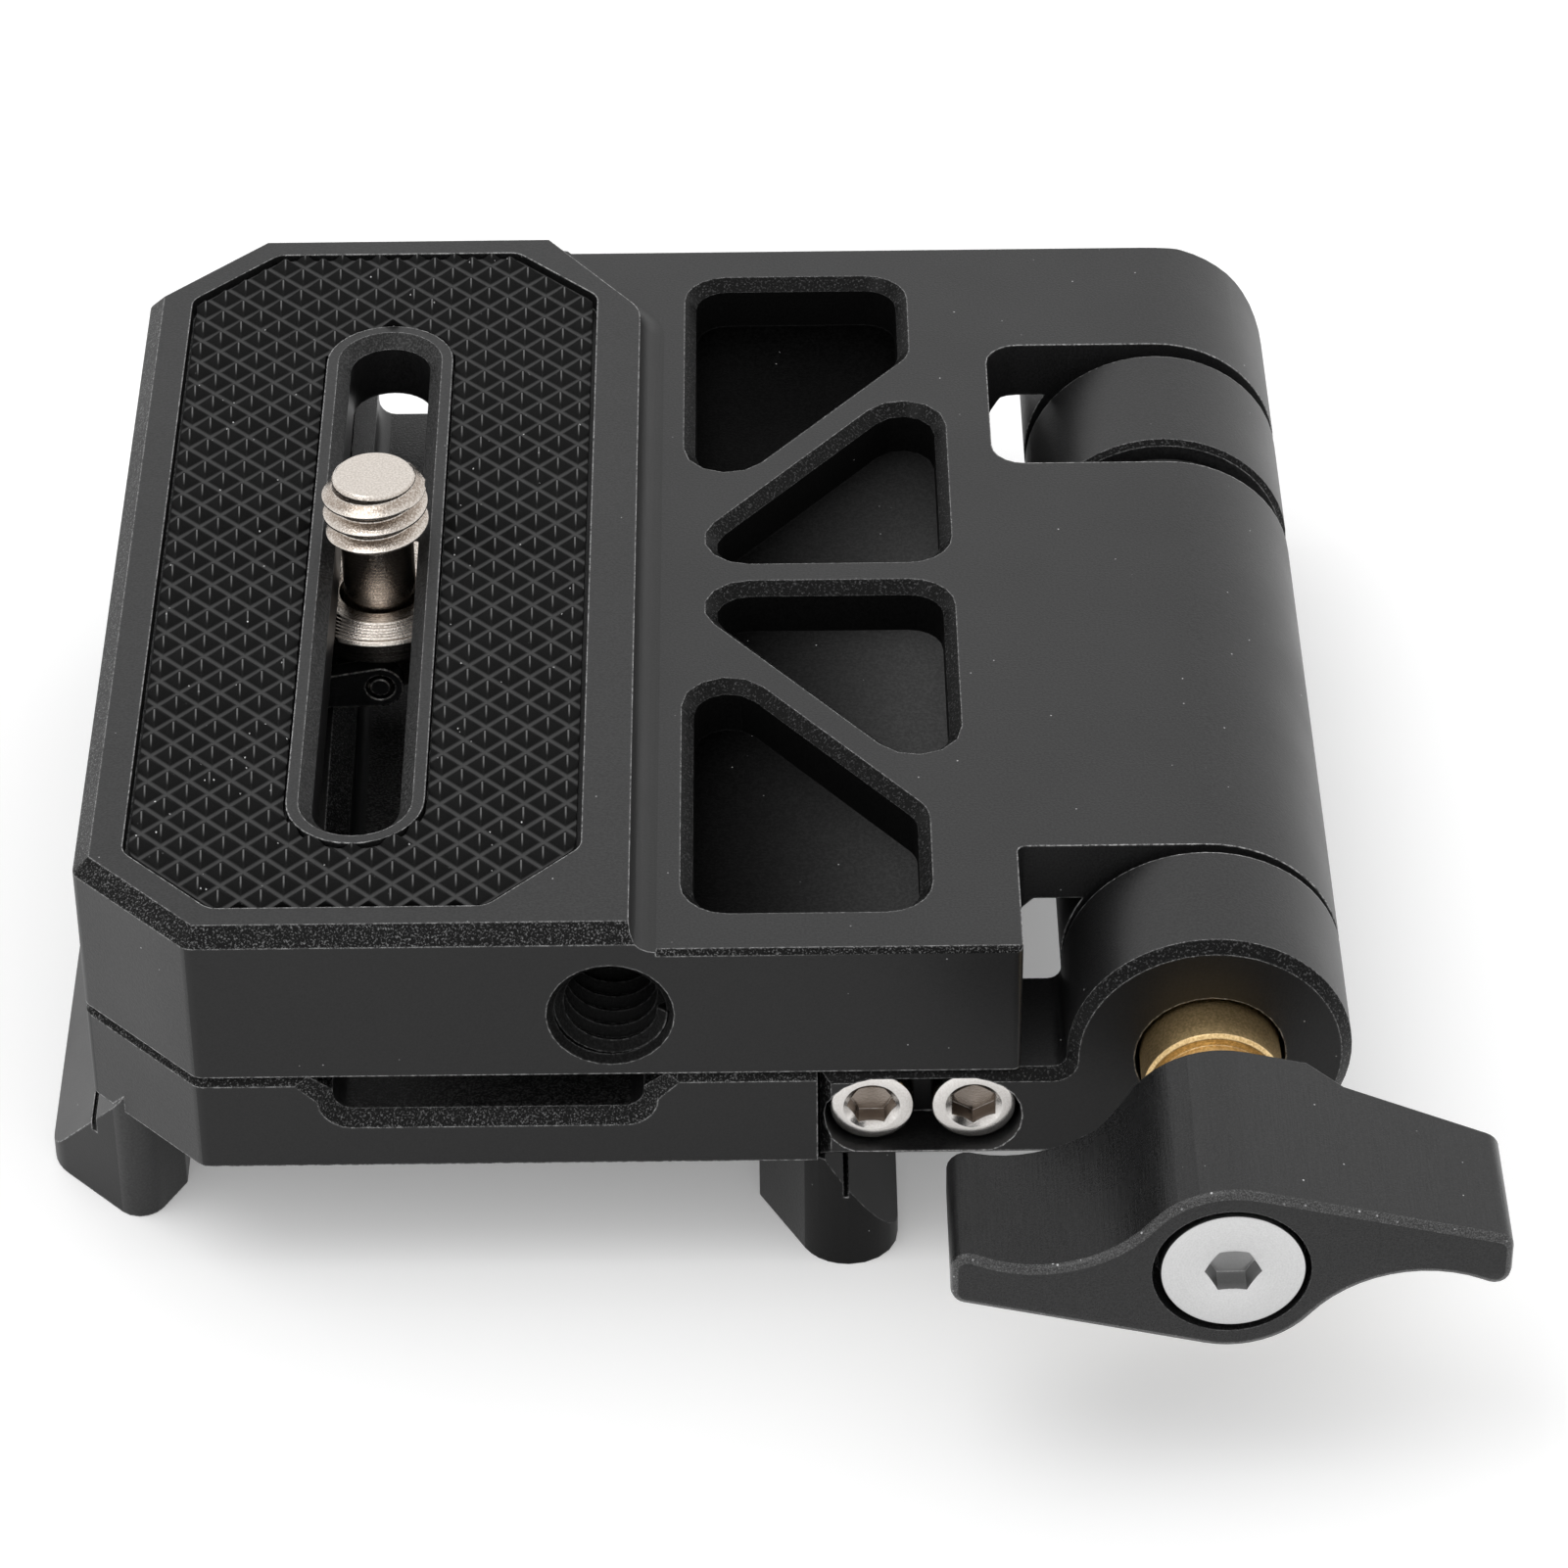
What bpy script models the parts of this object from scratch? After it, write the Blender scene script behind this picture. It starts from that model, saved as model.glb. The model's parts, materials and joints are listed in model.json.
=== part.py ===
# Folding quick release plate for a camera: a dovetail base plate, an upper plate with a
# rubber-faced camera seat, and a clamped hinge between them.
# Metres, +Z up. The hinge axis runs along Y at x = 0, the front faces stand at y = 0 and
# the dovetail rails stand on z = 0. Everything hangs on one empty, which centres the
# closed plate over the origin.
from math import acos, asin, atan2, cos, pi, radians, sin, sqrt, tan

import bmesh
import bpy
from mathutils import Matrix, Vector

# Shared fits
FIT_GAP = 0.0003
CUT_OVERRUN = 0.001
ROUND_STEPS = 48
BORE_STEPS = 28
CORNER_STEPS = 5
SIDE_USE = 0.98
EDGE_BREAK = 0.1

# Hinge barrel and knuckles, which set the thickness of both plates
BARREL_RADIUS = 0.0080
UPPER_BELOW_AXIS = 0.00078
EYE_BELOW_LOWER = 0.00062

# Both plates
PLATE_DEPTH = 0.0720
PLATE_LEFT = 0.0638
PLAN_CHAMFER = 0.0068
PLAN_EDGE_RADIUS = 0.0010
FOLD_GAP = 0.0003

# Lower plate and its dovetail rails
LOWER_TO_BARREL = 0.00275
LOWER_EDGE_CHAMFER = 0.0004
DOVETAIL_CENTRE = 0.0422
DOVETAIL_WIDTH = 0.0496
RAIL_HEIGHT = 0.0080
RAIL_FOOT_WIDTH = 0.0080
RAIL_LIP_HEIGHT = 0.00125
RAIL_FLANK_WIDTH = 0.0044
RAIL_SLIT_PLACE = 0.0029
RAIL_SLIT_WIDTH = 0.0003
RAIL_SLIT_DEPTH = 0.0006
RAIL_NOSE_RADIUS = 0.0030
RAIL_NOSE_FLAT = 0.0046
RAIL_TIP_RADIUS = 0.0015
RAIL_TIP_INSET = 0.0022
RAIL_END_ANGLE = 61.0
CHANNEL_LEFT = 0.0501
CHANNEL_WIDTH = 0.0189
CHANNEL_DEPTH = 0.0035
CHANNEL_FILLET = 0.0011
CHANNEL_CHAMFER = 0.0013

# Upper plate
UPPER_EDGE_CHAMFER = 0.00031
PLATFORM_RIGHT = 0.03245
PLATFORM_RISE = 0.0015
PLATFORM_EDGE_CHAMFER = 0.00095
PLATFORM_CORNER_WIDTH = 0.0067
PLATFORM_CORNER_DEPTH = 0.0092
BACK_CORNER_RADIUS = 0.0025
HINGE_WEB = 0.0038
WEB_TO_BARREL = 0.0016
HINGE_RELIEF_LEAD = 0.0012
NOTCH_TO_BARREL = 0.0026
KNUCKLE_NOTCH_RADIUS = 0.0020
ARM_NOTCH_RADIUS = 0.0005

# Weight-relief pockets
POCKET_TO_PLATFORM = 0.0028
POCKET_TO_NOTCH = 0.00276
POCKET_STEP = 0.00209
POCKET_MARGIN = 0.00335
POCKET_RIB = 0.0017
POCKET_RIB_ANGLE = 51.3
POCKET_CROSSING_SHARE = 0.441041347626
POCKET_DEPTH = 0.0033
POCKET_CHAMFER = 0.0007
POCKET_RADIUS = 0.0027

# Rubber pad and its seat
PAD_CENTRE = 0.0481
PAD_WIDTH = 0.0255
PAD_MARGIN = 0.0026
PAD_CORNER = 0.0051
PAD_CORNER_RADIUS = 0.0012
PAD_SINK = 0.0012
PYRAMID_PITCH = 0.0024
PYRAMID_HEIGHT = 0.0008
PYRAMID_SINK = 0.0003

# Camera screw slot
SLOT_WIDTH = 0.0050
SLOT_FRONT = 0.0096
SLOT_BACK_MARGIN = 0.0124
SLOT_BEVEL = 0.00075
SLOT_LIP = 0.0007
SLOT_LEDGE = 0.0041
BAY_HALF_WIDTH = 0.0100
BAY_FRONT = 0.0044
BAY_BACK_MARGIN = 0.0030
BAY_RADIUS = 0.0040

# Camera screw, its washer and folding ring
SCREW_SLOT_SHARE = 0.5812
SCREW_HEIGHT = 0.0041
THREAD_RADIUS = 0.003175
THREAD_LENGTH = 0.0043
THREAD_TOP_CHAMFER = 0.0008
NECK_RADIUS = 0.0022
SEAT_WASHER_RADIUS = 0.0056
SEAT_WASHER_THICKNESS = 0.0009
FLANGE_RADIUS = 0.0048
FLANGE_THICKNESS = 0.0008
BOSS_RADIUS = 0.0029
BOSS_CLEARANCE = 0.00028
BOSS_PIN_SHARE = 0.6
RING_REACH = 0.0070
RING_LEG_WIDTH = 0.0012
RING_THICKNESS_SHARE = 0.444
RING_EYE_SHARE = 0.389
RING_CORNER_SHARE = 0.8
RING_DROOP = 6.0
RING_PIN_PARTS = 6

# Threaded hole in the front edge
SIDE_HOLE_PLACE = 0.0336
SIDE_HOLE_BELOW_MIDDLE = 0.00011
SIDE_HOLE_DEPTH = 0.0120
SIDE_HOLE_COUNTERSINK = 0.0004

# Hinge stack, from the front face backwards
ARM_DEPTH = 0.0084
ARM_FOOT_TO_SCREW = 0.00293
ARM_FILLET = 0.0008
ARM_EDGE_CHAMFER = 0.0006
ARM_TO_BARREL = 0.00075
BARREL_TO_KNUCKLE = 0.00215
KNUCKLE_LENGTH = 0.00985
KNUCKLE_TO_TAIL = 0.00115
TAIL_LENGTH = 0.0116
KNUCKLE_CHAMFER = 0.0003
HINGE_BOLT_RADIUS = 0.0025
HINGE_BOLT_HEAD_RADIUS = 0.00425
HINGE_BOLT_HEAD_LENGTH = 0.0040
HINGE_BOLT_HEAD_INSET = 0.0003
HINGE_BOLT_KEY = 0.0040
HINGE_BOLT_KEY_DEPTH = 0.0022
HEAD_WASHER_THICKNESS = 0.0008
BUSH_WALL = 0.0010
BUSH_LENGTH = 0.0100
FRONT_WASHER_INSET = 0.0016
FRONT_WASHER_THICKNESS = 0.0009
SIDE_WASHER_INSET = 0.0011

# Screws that hold the hinge arm
ARM_SCREW_TO_BARREL = 0.00518
ARM_SCREW_SPACING = 0.00579
ARM_SCREW_CLEARANCE = 0.00045
ARM_SCREW_HEAD_LENGTH = 0.0025
ARM_SCREW_INSET = 0.0009
ARM_SCREW_RADIUS = 0.00125
ARM_SCREW_LENGTH = 0.0120
ARM_SCREW_KEY = 0.0020
ARM_SCREW_KEY_DEPTH = 0.0013
ARM_RECESS_RIM = 0.00045

# Clamp nut, knob and knob screw
KNOB_FRONT = 0.01785
KNOB_HUB_BACK = 0.0060
KNOB_WING_BACK = 0.0075
KNOB_TIP_BACK = 0.0097
KNOB_HUB_RADIUS = 0.00555
KNOB_SCOOP_INSET = 0.00205
KNOB_WING_ROOT = 0.85
KNOB_WING_SHOULDER = 1.2
KNOB_SCOOP_ANGLE = -36.8
KNOB_SCOOP_END = 66.0
KNOB_WING_ANGLE = 13.6
KNOB_REACH = 0.0151
KNOB_TIP_RADIUS = 0.0009
KNOB_EDGE = 0.0004
NUT_COLLAR_RADIUS = 0.00395
NUT_COLLAR_FRONT = 0.0029
NUT_COLLAR_SINK = 0.0030
NUT_NECK_RADIUS = 0.0033
NUT_NECK_FRONT = 0.0125
NUT_EDGE = 0.0002
NUT_THREAD_DEPTH = 0.0080
KNOB_SCREW_HEAD_RADIUS = 0.0040
KNOB_SCREW_HEAD_LENGTH = 0.0023
KNOB_SCREW_RADIUS = 0.0020
KNOB_SCREW_LENGTH = 0.0070
KNOB_SCREW_KEY = 0.0026
KNOB_SCREW_KEY_DEPTH = 0.0015

# Heights and stations that follow from the sizes above
UPPER_THICKNESS = BARREL_RADIUS + UPPER_BELOW_AXIS
LOWER_THICKNESS = BARREL_RADIUS - UPPER_BELOW_AXIS - FOLD_GAP - EYE_BELOW_LOWER
LOWER_RIGHT = BARREL_RADIUS + LOWER_TO_BARREL
HINGE_WEB_REACH = BARREL_RADIUS + WEB_TO_BARREL
KNUCKLE_NOTCH_REACH = BARREL_RADIUS + NOTCH_TO_BARREL
POCKET_LEFT = PLATFORM_RIGHT - POCKET_TO_PLATFORM
POCKET_RIGHT = KNUCKLE_NOTCH_REACH + POCKET_TO_NOTCH
POCKET_INNER = POCKET_RIGHT + POCKET_STEP
LOWER_BOTTOM = RAIL_HEIGHT
LOWER_TOP = LOWER_BOTTOM + LOWER_THICKNESS
UPPER_BOTTOM = LOWER_TOP + FOLD_GAP
UPPER_TOP = UPPER_BOTTOM + UPPER_THICKNESS
PLATFORM_TOP = UPPER_TOP + PLATFORM_RISE
AXIS_HEIGHT = UPPER_TOP - BARREL_RADIUS
BARREL_FRONT = ARM_DEPTH + ARM_TO_BARREL
TAIL_FRONT = PLATE_DEPTH - TAIL_LENGTH
KNUCKLE_BACK = TAIL_FRONT - KNUCKLE_TO_TAIL
KNUCKLE_FRONT = KNUCKLE_BACK - KNUCKLE_LENGTH
BARREL_BACK = KNUCKLE_FRONT - BARREL_TO_KNUCKLE
PAD_FRONT = PAD_MARGIN
PAD_BACK = PLATE_DEPTH - PAD_MARGIN
SLOT_BACK = PLATE_DEPTH - SLOT_BACK_MARGIN
BAY_BACK = PLATE_DEPTH - BAY_BACK_MARGIN
BOLT_HEAD_BACK = PLATE_DEPTH - HINGE_BOLT_HEAD_INSET
BOLT_HEAD_FRONT = BOLT_HEAD_BACK - HINGE_BOLT_HEAD_LENGTH
HEAD_WASHER_FRONT = BOLT_HEAD_FRONT - FIT_GAP - HEAD_WASHER_THICKNESS
BOLT_BORE = HINGE_BOLT_RADIUS + FIT_GAP
ARM_SCREW_HEIGHT = LOWER_BOTTOM + LOWER_THICKNESS / 2
ARM_RECESS_RADIUS = LOWER_THICKNESS / 2 - ARM_RECESS_RIM
ARM_SCREW_HEAD_RADIUS = ARM_RECESS_RADIUS - ARM_SCREW_CLEARANCE
ARM_SCREW_RIGHT = BARREL_RADIUS + ARM_SCREW_TO_BARREL
ARM_SCREW_LEFT = ARM_SCREW_RIGHT + ARM_SCREW_SPACING
ARM_FOOT_LEFT = ARM_SCREW_LEFT + ARM_FOOT_TO_SCREW
FRONT_WASHER_RADIUS = BARREL_RADIUS - FRONT_WASHER_INSET
SIDE_WASHER_RADIUS = BARREL_RADIUS - SIDE_WASHER_INSET
SIDE_HOLE_DROP = UPPER_THICKNESS / 2 + SIDE_HOLE_BELOW_MIDDLE
SLOT_RADIUS = SLOT_WIDTH / 2
LIP_RADIUS = SLOT_RADIUS + SLOT_BEVEL + SLOT_LIP
BAY_ROOF = PLATFORM_TOP - SLOT_LEDGE
SCREW_SEAT = BAY_ROOF - FIT_GAP
SCREW_PLACE = SLOT_FRONT + SCREW_SLOT_SHARE * (SLOT_BACK - SLOT_FRONT)
FLANGE_BOTTOM = SCREW_SEAT - SEAT_WASHER_THICKNESS - FIT_GAP - FLANGE_THICKNESS
BOSS_HEIGHT = FLANGE_BOTTOM - UPPER_BOTTOM - BOSS_CLEARANCE
RING_AXIS = FLANGE_BOTTOM - BOSS_HEIGHT * BOSS_PIN_SHARE
RING_EYE_RADIUS = BOSS_HEIGHT * RING_EYE_SHARE
RING_THICKNESS = BOSS_HEIGHT * RING_THICKNESS_SHARE
RING_PIN_RADIUS = BOSS_HEIGHT / RING_PIN_PARTS
KNOB_SCOOP_RADIUS = KNOB_REACH - KNOB_HUB_RADIUS - KNOB_SCOOP_INSET
DOVETAIL_LIPS = (-DOVETAIL_CENTRE - DOVETAIL_WIDTH / 2, -DOVETAIL_CENTRE + DOVETAIL_WIDTH / 2)

HINGE_AXIS = Vector((0.0, 0.0, AXIS_HEIGHT))
SCREW_AXIS = Vector((-PAD_CENTRE, SCREW_PLACE, SCREW_SEAT))
RING_PIVOT = Vector((-PAD_CENTRE, SCREW_PLACE, RING_AXIS))

# Colour, metallic and roughness of each material
FINISHES = {
    "black_anodised": ((0.030, 0.030, 0.032), 0.75, 0.42),
    "black_rubber": ((0.016, 0.016, 0.016), 0.0, 0.75),
    "black_steel": ((0.040, 0.040, 0.042), 0.8, 0.35),
    "black_nylon": ((0.022, 0.022, 0.022), 0.0, 0.55),
    "plated_steel": ((0.74, 0.72, 0.68), 1.0, 0.25),
    "satin_steel": ((0.78, 0.78, 0.78), 1.0, 0.38),
    "bronze": ((0.56, 0.38, 0.20), 1.0, 0.35),
    "brass": ((0.60, 0.44, 0.20), 1.0, 0.30),
}


# Outlines

# A closed outline from (x, y, radius) corners, each turned by an arc of that radius.
# Arcs that would meet on a short side shrink together.
def rounded(corners, steps=CORNER_STEPS):
    count = len(corners)
    spots = [Vector((x, y)) for x, y, radius in corners]
    halves = []
    reaches = []
    for index, here in enumerate(spots):
        half = (spots[index - 1] - here).angle(spots[(index + 1) % count] - here) / 2
        halves.append(half)
        reaches.append(corners[index][2] / tan(half))
    points = []
    for index, here in enumerate(spots):
        if not reaches[index]:
            points.append(here)
            continue
        back = spots[index - 1] - here
        ahead = spots[(index + 1) % count] - here
        fit = min(1.0, SIDE_USE * back.length / (reaches[index] + reaches[index - 1]),
                  SIDE_USE * ahead.length / (reaches[index] + reaches[(index + 1) % count]))
        half = halves[index]
        reach = reaches[index] * fit
        back.normalize()
        ahead.normalize()
        centre = here + (back + ahead).normalized() * (reach / cos(half))
        start = here + back * reach - centre
        sweep = (pi - 2 * half) * (-1.0 if back.cross(ahead) > 0 else 1.0)
        for step in range(steps + 1):
            spoke = start.copy()
            spoke.rotate(Matrix.Rotation(sweep * step / steps, 2))
            points.append(centre + spoke)
    return points


# The same outline moved inwards, or outwards when the distance is negative.
def inset(points, distance):
    count = len(points)
    area = sum(points[i - 1].cross(points[i]) for i in range(count))
    side = 1.0 if area > 0 else -1.0
    moved = []
    for index, here in enumerate(points):
        back = (here - points[index - 1]).normalized()
        ahead = (points[(index + 1) % count] - here).normalized()
        back_normal = Vector((-back.y, back.x)) * side
        ahead_normal = Vector((-ahead.y, ahead.x)) * side
        mitre = (back_normal + ahead_normal).normalized()
        moved.append(here + mitre * (distance / mitre.dot(back_normal)))
    return moved


def stadium(centre_x, front, back, radius, steps=16):
    points = []
    for middle, start in ((front + radius, pi), (back - radius, 0.0)):
        for step in range(steps + 1):
            angle = start + pi * step / steps
            points.append(Vector((centre_x + radius * cos(angle), middle + radius * sin(angle))))
    return points


def circle(radius, steps=ROUND_STEPS, centre=(0.0, 0.0)):
    turn = 2 * pi / steps
    return [Vector((centre[0] + radius * cos(i * turn), centre[1] + radius * sin(i * turn)))
            for i in range(steps)]


def arc(centre, radius, start, end, steps):
    span = end - start
    return [Vector((centre[0] + radius * cos(start + span * i / steps),
                    centre[1] + radius * sin(start + span * i / steps)))
            for i in range(steps + 1)]


def mirrored(points, middle):
    return [Vector((point.x, 2 * middle - point.y)) for point in reversed(points)]


# Solids

SPIN = {"Z": lambda u, v, w: (u, v, w), "Y": lambda u, v, w: (u, w, v), "X": lambda u, v, w: (w, u, v)}


def new_object(name, mesh_data, smooth_angle=30.0):
    bmesh.ops.recalc_face_normals(mesh_data, faces=mesh_data.faces)
    mesh = bpy.data.meshes.new(name)
    mesh_data.to_mesh(mesh)
    mesh_data.free()
    mesh.shade_smooth()
    mesh.set_sharp_from_angle(angle=radians(smooth_angle))
    solid = bpy.data.objects.new(name, mesh)
    bpy.context.scene.collection.objects.link(solid)
    solid.parent = rest_frame
    return solid


# Rings of equal point count, joined in order. A closed stack joins its last ring to its
# first, and an open one is capped at both ends.
def stack_rings(name, rings, closed=False):
    data = bmesh.new()
    loops = [[data.verts.new(point) for point in ring] for ring in rings]
    pairs = list(zip(loops, loops[1:]))
    if closed:
        pairs.append((loops[-1], loops[0]))
    for low, high in pairs:
        for i in range(len(low)):
            j = (i + 1) % len(low)
            data.faces.new((low[i], low[j], high[j], high[i]))
    if not closed:
        data.faces.new(loops[0])
        data.faces.new(loops[-1])
    return new_object(name, data)


# An outline carried along an axis through (station, inset) levels.
def loft(name, outline, levels, axis="Z"):
    spin = SPIN[axis]
    rings = []
    for station, distance in levels:
        ring = inset(outline, distance) if distance else outline
        rings.append([spin(point.x, point.y, station) for point in ring])
    return stack_rings(name, rings)


def prism(name, outline, low, high, axis="Z"):
    return loft(name, outline, ((low, 0.0), (high, 0.0)), axis)


# A turned solid from (station, radius) pairs along an axis through (u, v).
def turned(name, profile, centre, axis="Y", steps=BORE_STEPS, closed=False):
    spin = SPIN[axis]
    rings = [[spin(point.x, point.y, station) for point in circle(radius, steps, centre)]
             for station, radius in profile]
    return stack_rings(name, rings, closed)


# A turned sleeve or washer with a small edge break outside.
def sleeve(name, front, back, outer, bore, centre, axis="Y", edge=0.0, steps=BORE_STEPS):
    profile = [(front, bore), (front, outer - edge), (front + edge, outer),
               (back - edge, outer), (back, outer - edge), (back, bore)]
    if not edge:
        profile = [(front, bore), (front, outer), (back, outer), (back, bore)]
    return turned(name, profile, centre, axis, steps, closed=True)


def hexagon(across_flats, centre, turn=0.0):
    radius = across_flats / 2 / cos(pi / 6)
    return [Vector((centre[0] + radius * cos(turn + i * pi / 3), centre[1] + radius * sin(turn + i * pi / 3)))
            for i in range(6)]


# Cuts and joins

def combine(solid, tool, operation="DIFFERENCE"):
    modifier = solid.modifiers.new(tool.name, "BOOLEAN")
    modifier.operation = operation
    modifier.solver = "EXACT"
    modifier.object = tool
    tool.hide_render = True
    tool.display_type = "WIRE"
    return solid


def cut(solid, *tools):
    for tool in tools:
        combine(solid, tool)
    return solid


def join(solid, *tools):
    for tool in tools:
        combine(solid, tool, "UNION")
    return solid


def keep_inside(solid, *tools):
    for tool in tools:
        combine(solid, tool, "INTERSECT")
    return solid


def set_origin(solid, point):
    solid.data.transform(Matrix.Translation(-point))
    solid.location = point


def finish(solid, finish_name):
    colour, metallic, roughness = FINISHES[finish_name]
    material = bpy.data.materials.new(solid.name)
    material.use_nodes = True
    surface = material.node_tree.nodes["Principled BSDF"]
    surface.inputs["Base Color"].default_value = (*colour, 1.0)
    surface.inputs["Metallic"].default_value = metallic
    surface.inputs["Roughness"].default_value = roughness
    material.diffuse_color = (*colour, 1.0)
    solid.data.materials.clear()
    solid.data.materials.append(material)


AXIS_CENTRE = (0.0, AXIS_HEIGHT)


# Plan of a plate whose left corners are cut off at 45 degrees.
def plate_plan(right, back_right_radius=0.0):
    left = -PLATE_LEFT
    return rounded([
        (left + PLAN_CHAMFER, 0.0, PLAN_EDGE_RADIUS),
        (right, 0.0, 0.0),
        (right, PLATE_DEPTH, back_right_radius),
        (left + PLAN_CHAMFER, PLATE_DEPTH, PLAN_EDGE_RADIUS),
        (left, PLATE_DEPTH - PLAN_CHAMFER, PLAN_EDGE_RADIUS),
        (left, PLAN_CHAMFER, PLAN_EDGE_RADIUS),
    ])


# Lower plate

# Section of one rail, looking along Y, with its lip at x = 0 and its foot inwards.
def rail_section(lip, inward):
    steepness = (RAIL_HEIGHT - RAIL_LIP_HEIGHT) / RAIL_FLANK_WIDTH
    slit_outer = RAIL_SLIT_PLACE
    slit_inner = slit_outer + RAIL_SLIT_WIDTH
    slit_top = RAIL_LIP_HEIGHT + slit_outer * steepness
    slit_floor = slit_top - RAIL_SLIT_DEPTH
    embed = LOWER_BOTTOM + LOWER_THICKNESS / 3
    section = [
        (0.0, 0.0), (0.0, RAIL_LIP_HEIGHT), (slit_outer, slit_top), (slit_outer, slit_floor),
        (slit_inner, slit_floor), (slit_inner, slit_top + RAIL_SLIT_WIDTH * steepness),
        ((embed - RAIL_LIP_HEIGHT) / steepness, embed), (RAIL_FOOT_WIDTH, embed), (RAIL_FOOT_WIDTH, 0.0),
    ]
    return [Vector((lip + inward * x, z)) for x, z in section]


# Plan of the left rail: its ends follow the plate's cut corners.
def left_rail_plan():
    lip = DOVETAIL_LIPS[0]
    inner = lip + RAIL_FOOT_WIDTH
    corner_sum = PLAN_CHAMFER - PLATE_LEFT - LOWER_EDGE_CHAMFER
    tip_x = inner - RAIL_TIP_INSET
    tip_y = corner_sum - tip_x
    inner_y = tip_y + RAIL_TIP_INSET * tan(radians(RAIL_END_ANGLE))
    front = [
        (inner, inner_y, RAIL_TIP_RADIUS / 3),
        (tip_x, tip_y, RAIL_TIP_RADIUS),
        (lip, corner_sum - lip, RAIL_NOSE_RADIUS),
    ]
    return rounded(front + turned_back(front))


# Plan of the right rail: a round nose flush with the plate's front and back faces.
def right_rail_plan():
    lip = DOVETAIL_LIPS[1]
    inner = lip - RAIL_FOOT_WIDTH
    nose_x = lip - RAIL_NOSE_FLAT
    inner_y = (nose_x - inner) * tan(radians(RAIL_END_ANGLE))
    front = [
        (lip, 0.0, RAIL_NOSE_RADIUS),
        (nose_x, 0.0, RAIL_NOSE_RADIUS),
        (inner, inner_y, RAIL_TIP_RADIUS / 3),
    ]
    return rounded(front + turned_back(front))


# The same corners at the back end of the plate.
def turned_back(corners):
    return [(x, PLATE_DEPTH - y, radius) for x, y, radius in reversed(corners)]


def rail(name, lip, inward, plan):
    over = 2 * CUT_OVERRUN
    bar = prism(name, rail_section(lip, inward), -over, PLATE_DEPTH + over, "Y")
    ends = prism(name + "_ends", plan, -over, LOWER_TOP, "Z")
    return keep_inside(bar, ends)


def channel_section():
    left = -CHANNEL_LEFT
    right = left + CHANNEL_WIDTH
    floor = LOWER_TOP - CHANNEL_DEPTH
    shoulder = LOWER_TOP - CHANNEL_CHAMFER
    flare = CHANNEL_CHAMFER + CUT_OVERRUN
    top = LOWER_TOP + CUT_OVERRUN
    return rounded([
        (left, floor, CHANNEL_FILLET), (right, floor, CHANNEL_FILLET), (right, shoulder, 0.0),
        (right + flare, top, 0.0), (left - flare, top, 0.0), (left, shoulder, 0.0),
    ])


def build_lower_plate():
    plate = loft("lower_plate", plate_plan(-LOWER_RIGHT), (
        (LOWER_BOTTOM, 0.0), (LOWER_TOP - LOWER_EDGE_CHAMFER, 0.0), (LOWER_TOP, LOWER_EDGE_CHAMFER)))
    web_outline = [Vector((-LOWER_RIGHT - CUT_OVERRUN, KNUCKLE_FRONT + KNUCKLE_CHAMFER)),
                   Vector((0.0, KNUCKLE_FRONT + KNUCKLE_CHAMFER)),
                   Vector((0.0, KNUCKLE_BACK - KNUCKLE_CHAMFER)),
                   Vector((-LOWER_RIGHT - CUT_OVERRUN, KNUCKLE_BACK - KNUCKLE_CHAMFER))]
    web = prism("knuckle_web", web_outline, LOWER_BOTTOM, LOWER_TOP - LOWER_EDGE_CHAMFER)
    knuckle = turned("rear_knuckle", (
        (KNUCKLE_FRONT, BARREL_RADIUS - KNUCKLE_CHAMFER), (KNUCKLE_FRONT + KNUCKLE_CHAMFER, BARREL_RADIUS),
        (KNUCKLE_BACK - KNUCKLE_CHAMFER, BARREL_RADIUS), (KNUCKLE_BACK, BARREL_RADIUS - KNUCKLE_CHAMFER)),
        AXIS_CENTRE, steps=ROUND_STEPS)
    join(plate, web, knuckle)
    join(plate, rail("left_rail", DOVETAIL_LIPS[0], 1.0, left_rail_plan()))
    join(plate, rail("right_rail", DOVETAIL_LIPS[1], -1.0, right_rail_plan()))
    over = CUT_OVERRUN
    channel = prism("channel", channel_section(), -over, PLATE_DEPTH + over, "Y")
    seat_left = -ARM_FOOT_LEFT - FIT_GAP / 2
    seat_back = ARM_DEPTH + FIT_GAP / 2
    seat_plan = [Vector((seat_left, -over)), Vector((0.0, -over)),
                 Vector((0.0, seat_back)), Vector((seat_left, seat_back))]
    arm_seat = prism("arm_seat", seat_plan, LOWER_BOTTOM - FIT_GAP, LOWER_TOP + over)
    bolt_bore = prism("knuckle_bore", circle(BOLT_BORE, BORE_STEPS, AXIS_CENTRE),
                      KNUCKLE_FRONT - over, KNUCKLE_BACK + over, "Y")
    cut(plate, channel, arm_seat, bolt_bore)
    hole_back = ARM_SCREW_INSET + ARM_SCREW_HEAD_LENGTH + ARM_SCREW_LENGTH + FIT_GAP
    for side, place in (("left", ARM_SCREW_LEFT), ("right", ARM_SCREW_RIGHT)):
        outline = circle(ARM_SCREW_RADIUS + FIT_GAP, BORE_STEPS, (-place, ARM_SCREW_HEIGHT))
        cut(plate, prism("tapped_hole_" + side, outline, ARM_DEPTH - over, hole_back, "Y"))
    finish(plate, "black_anodised")


# Hinge arm

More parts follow.
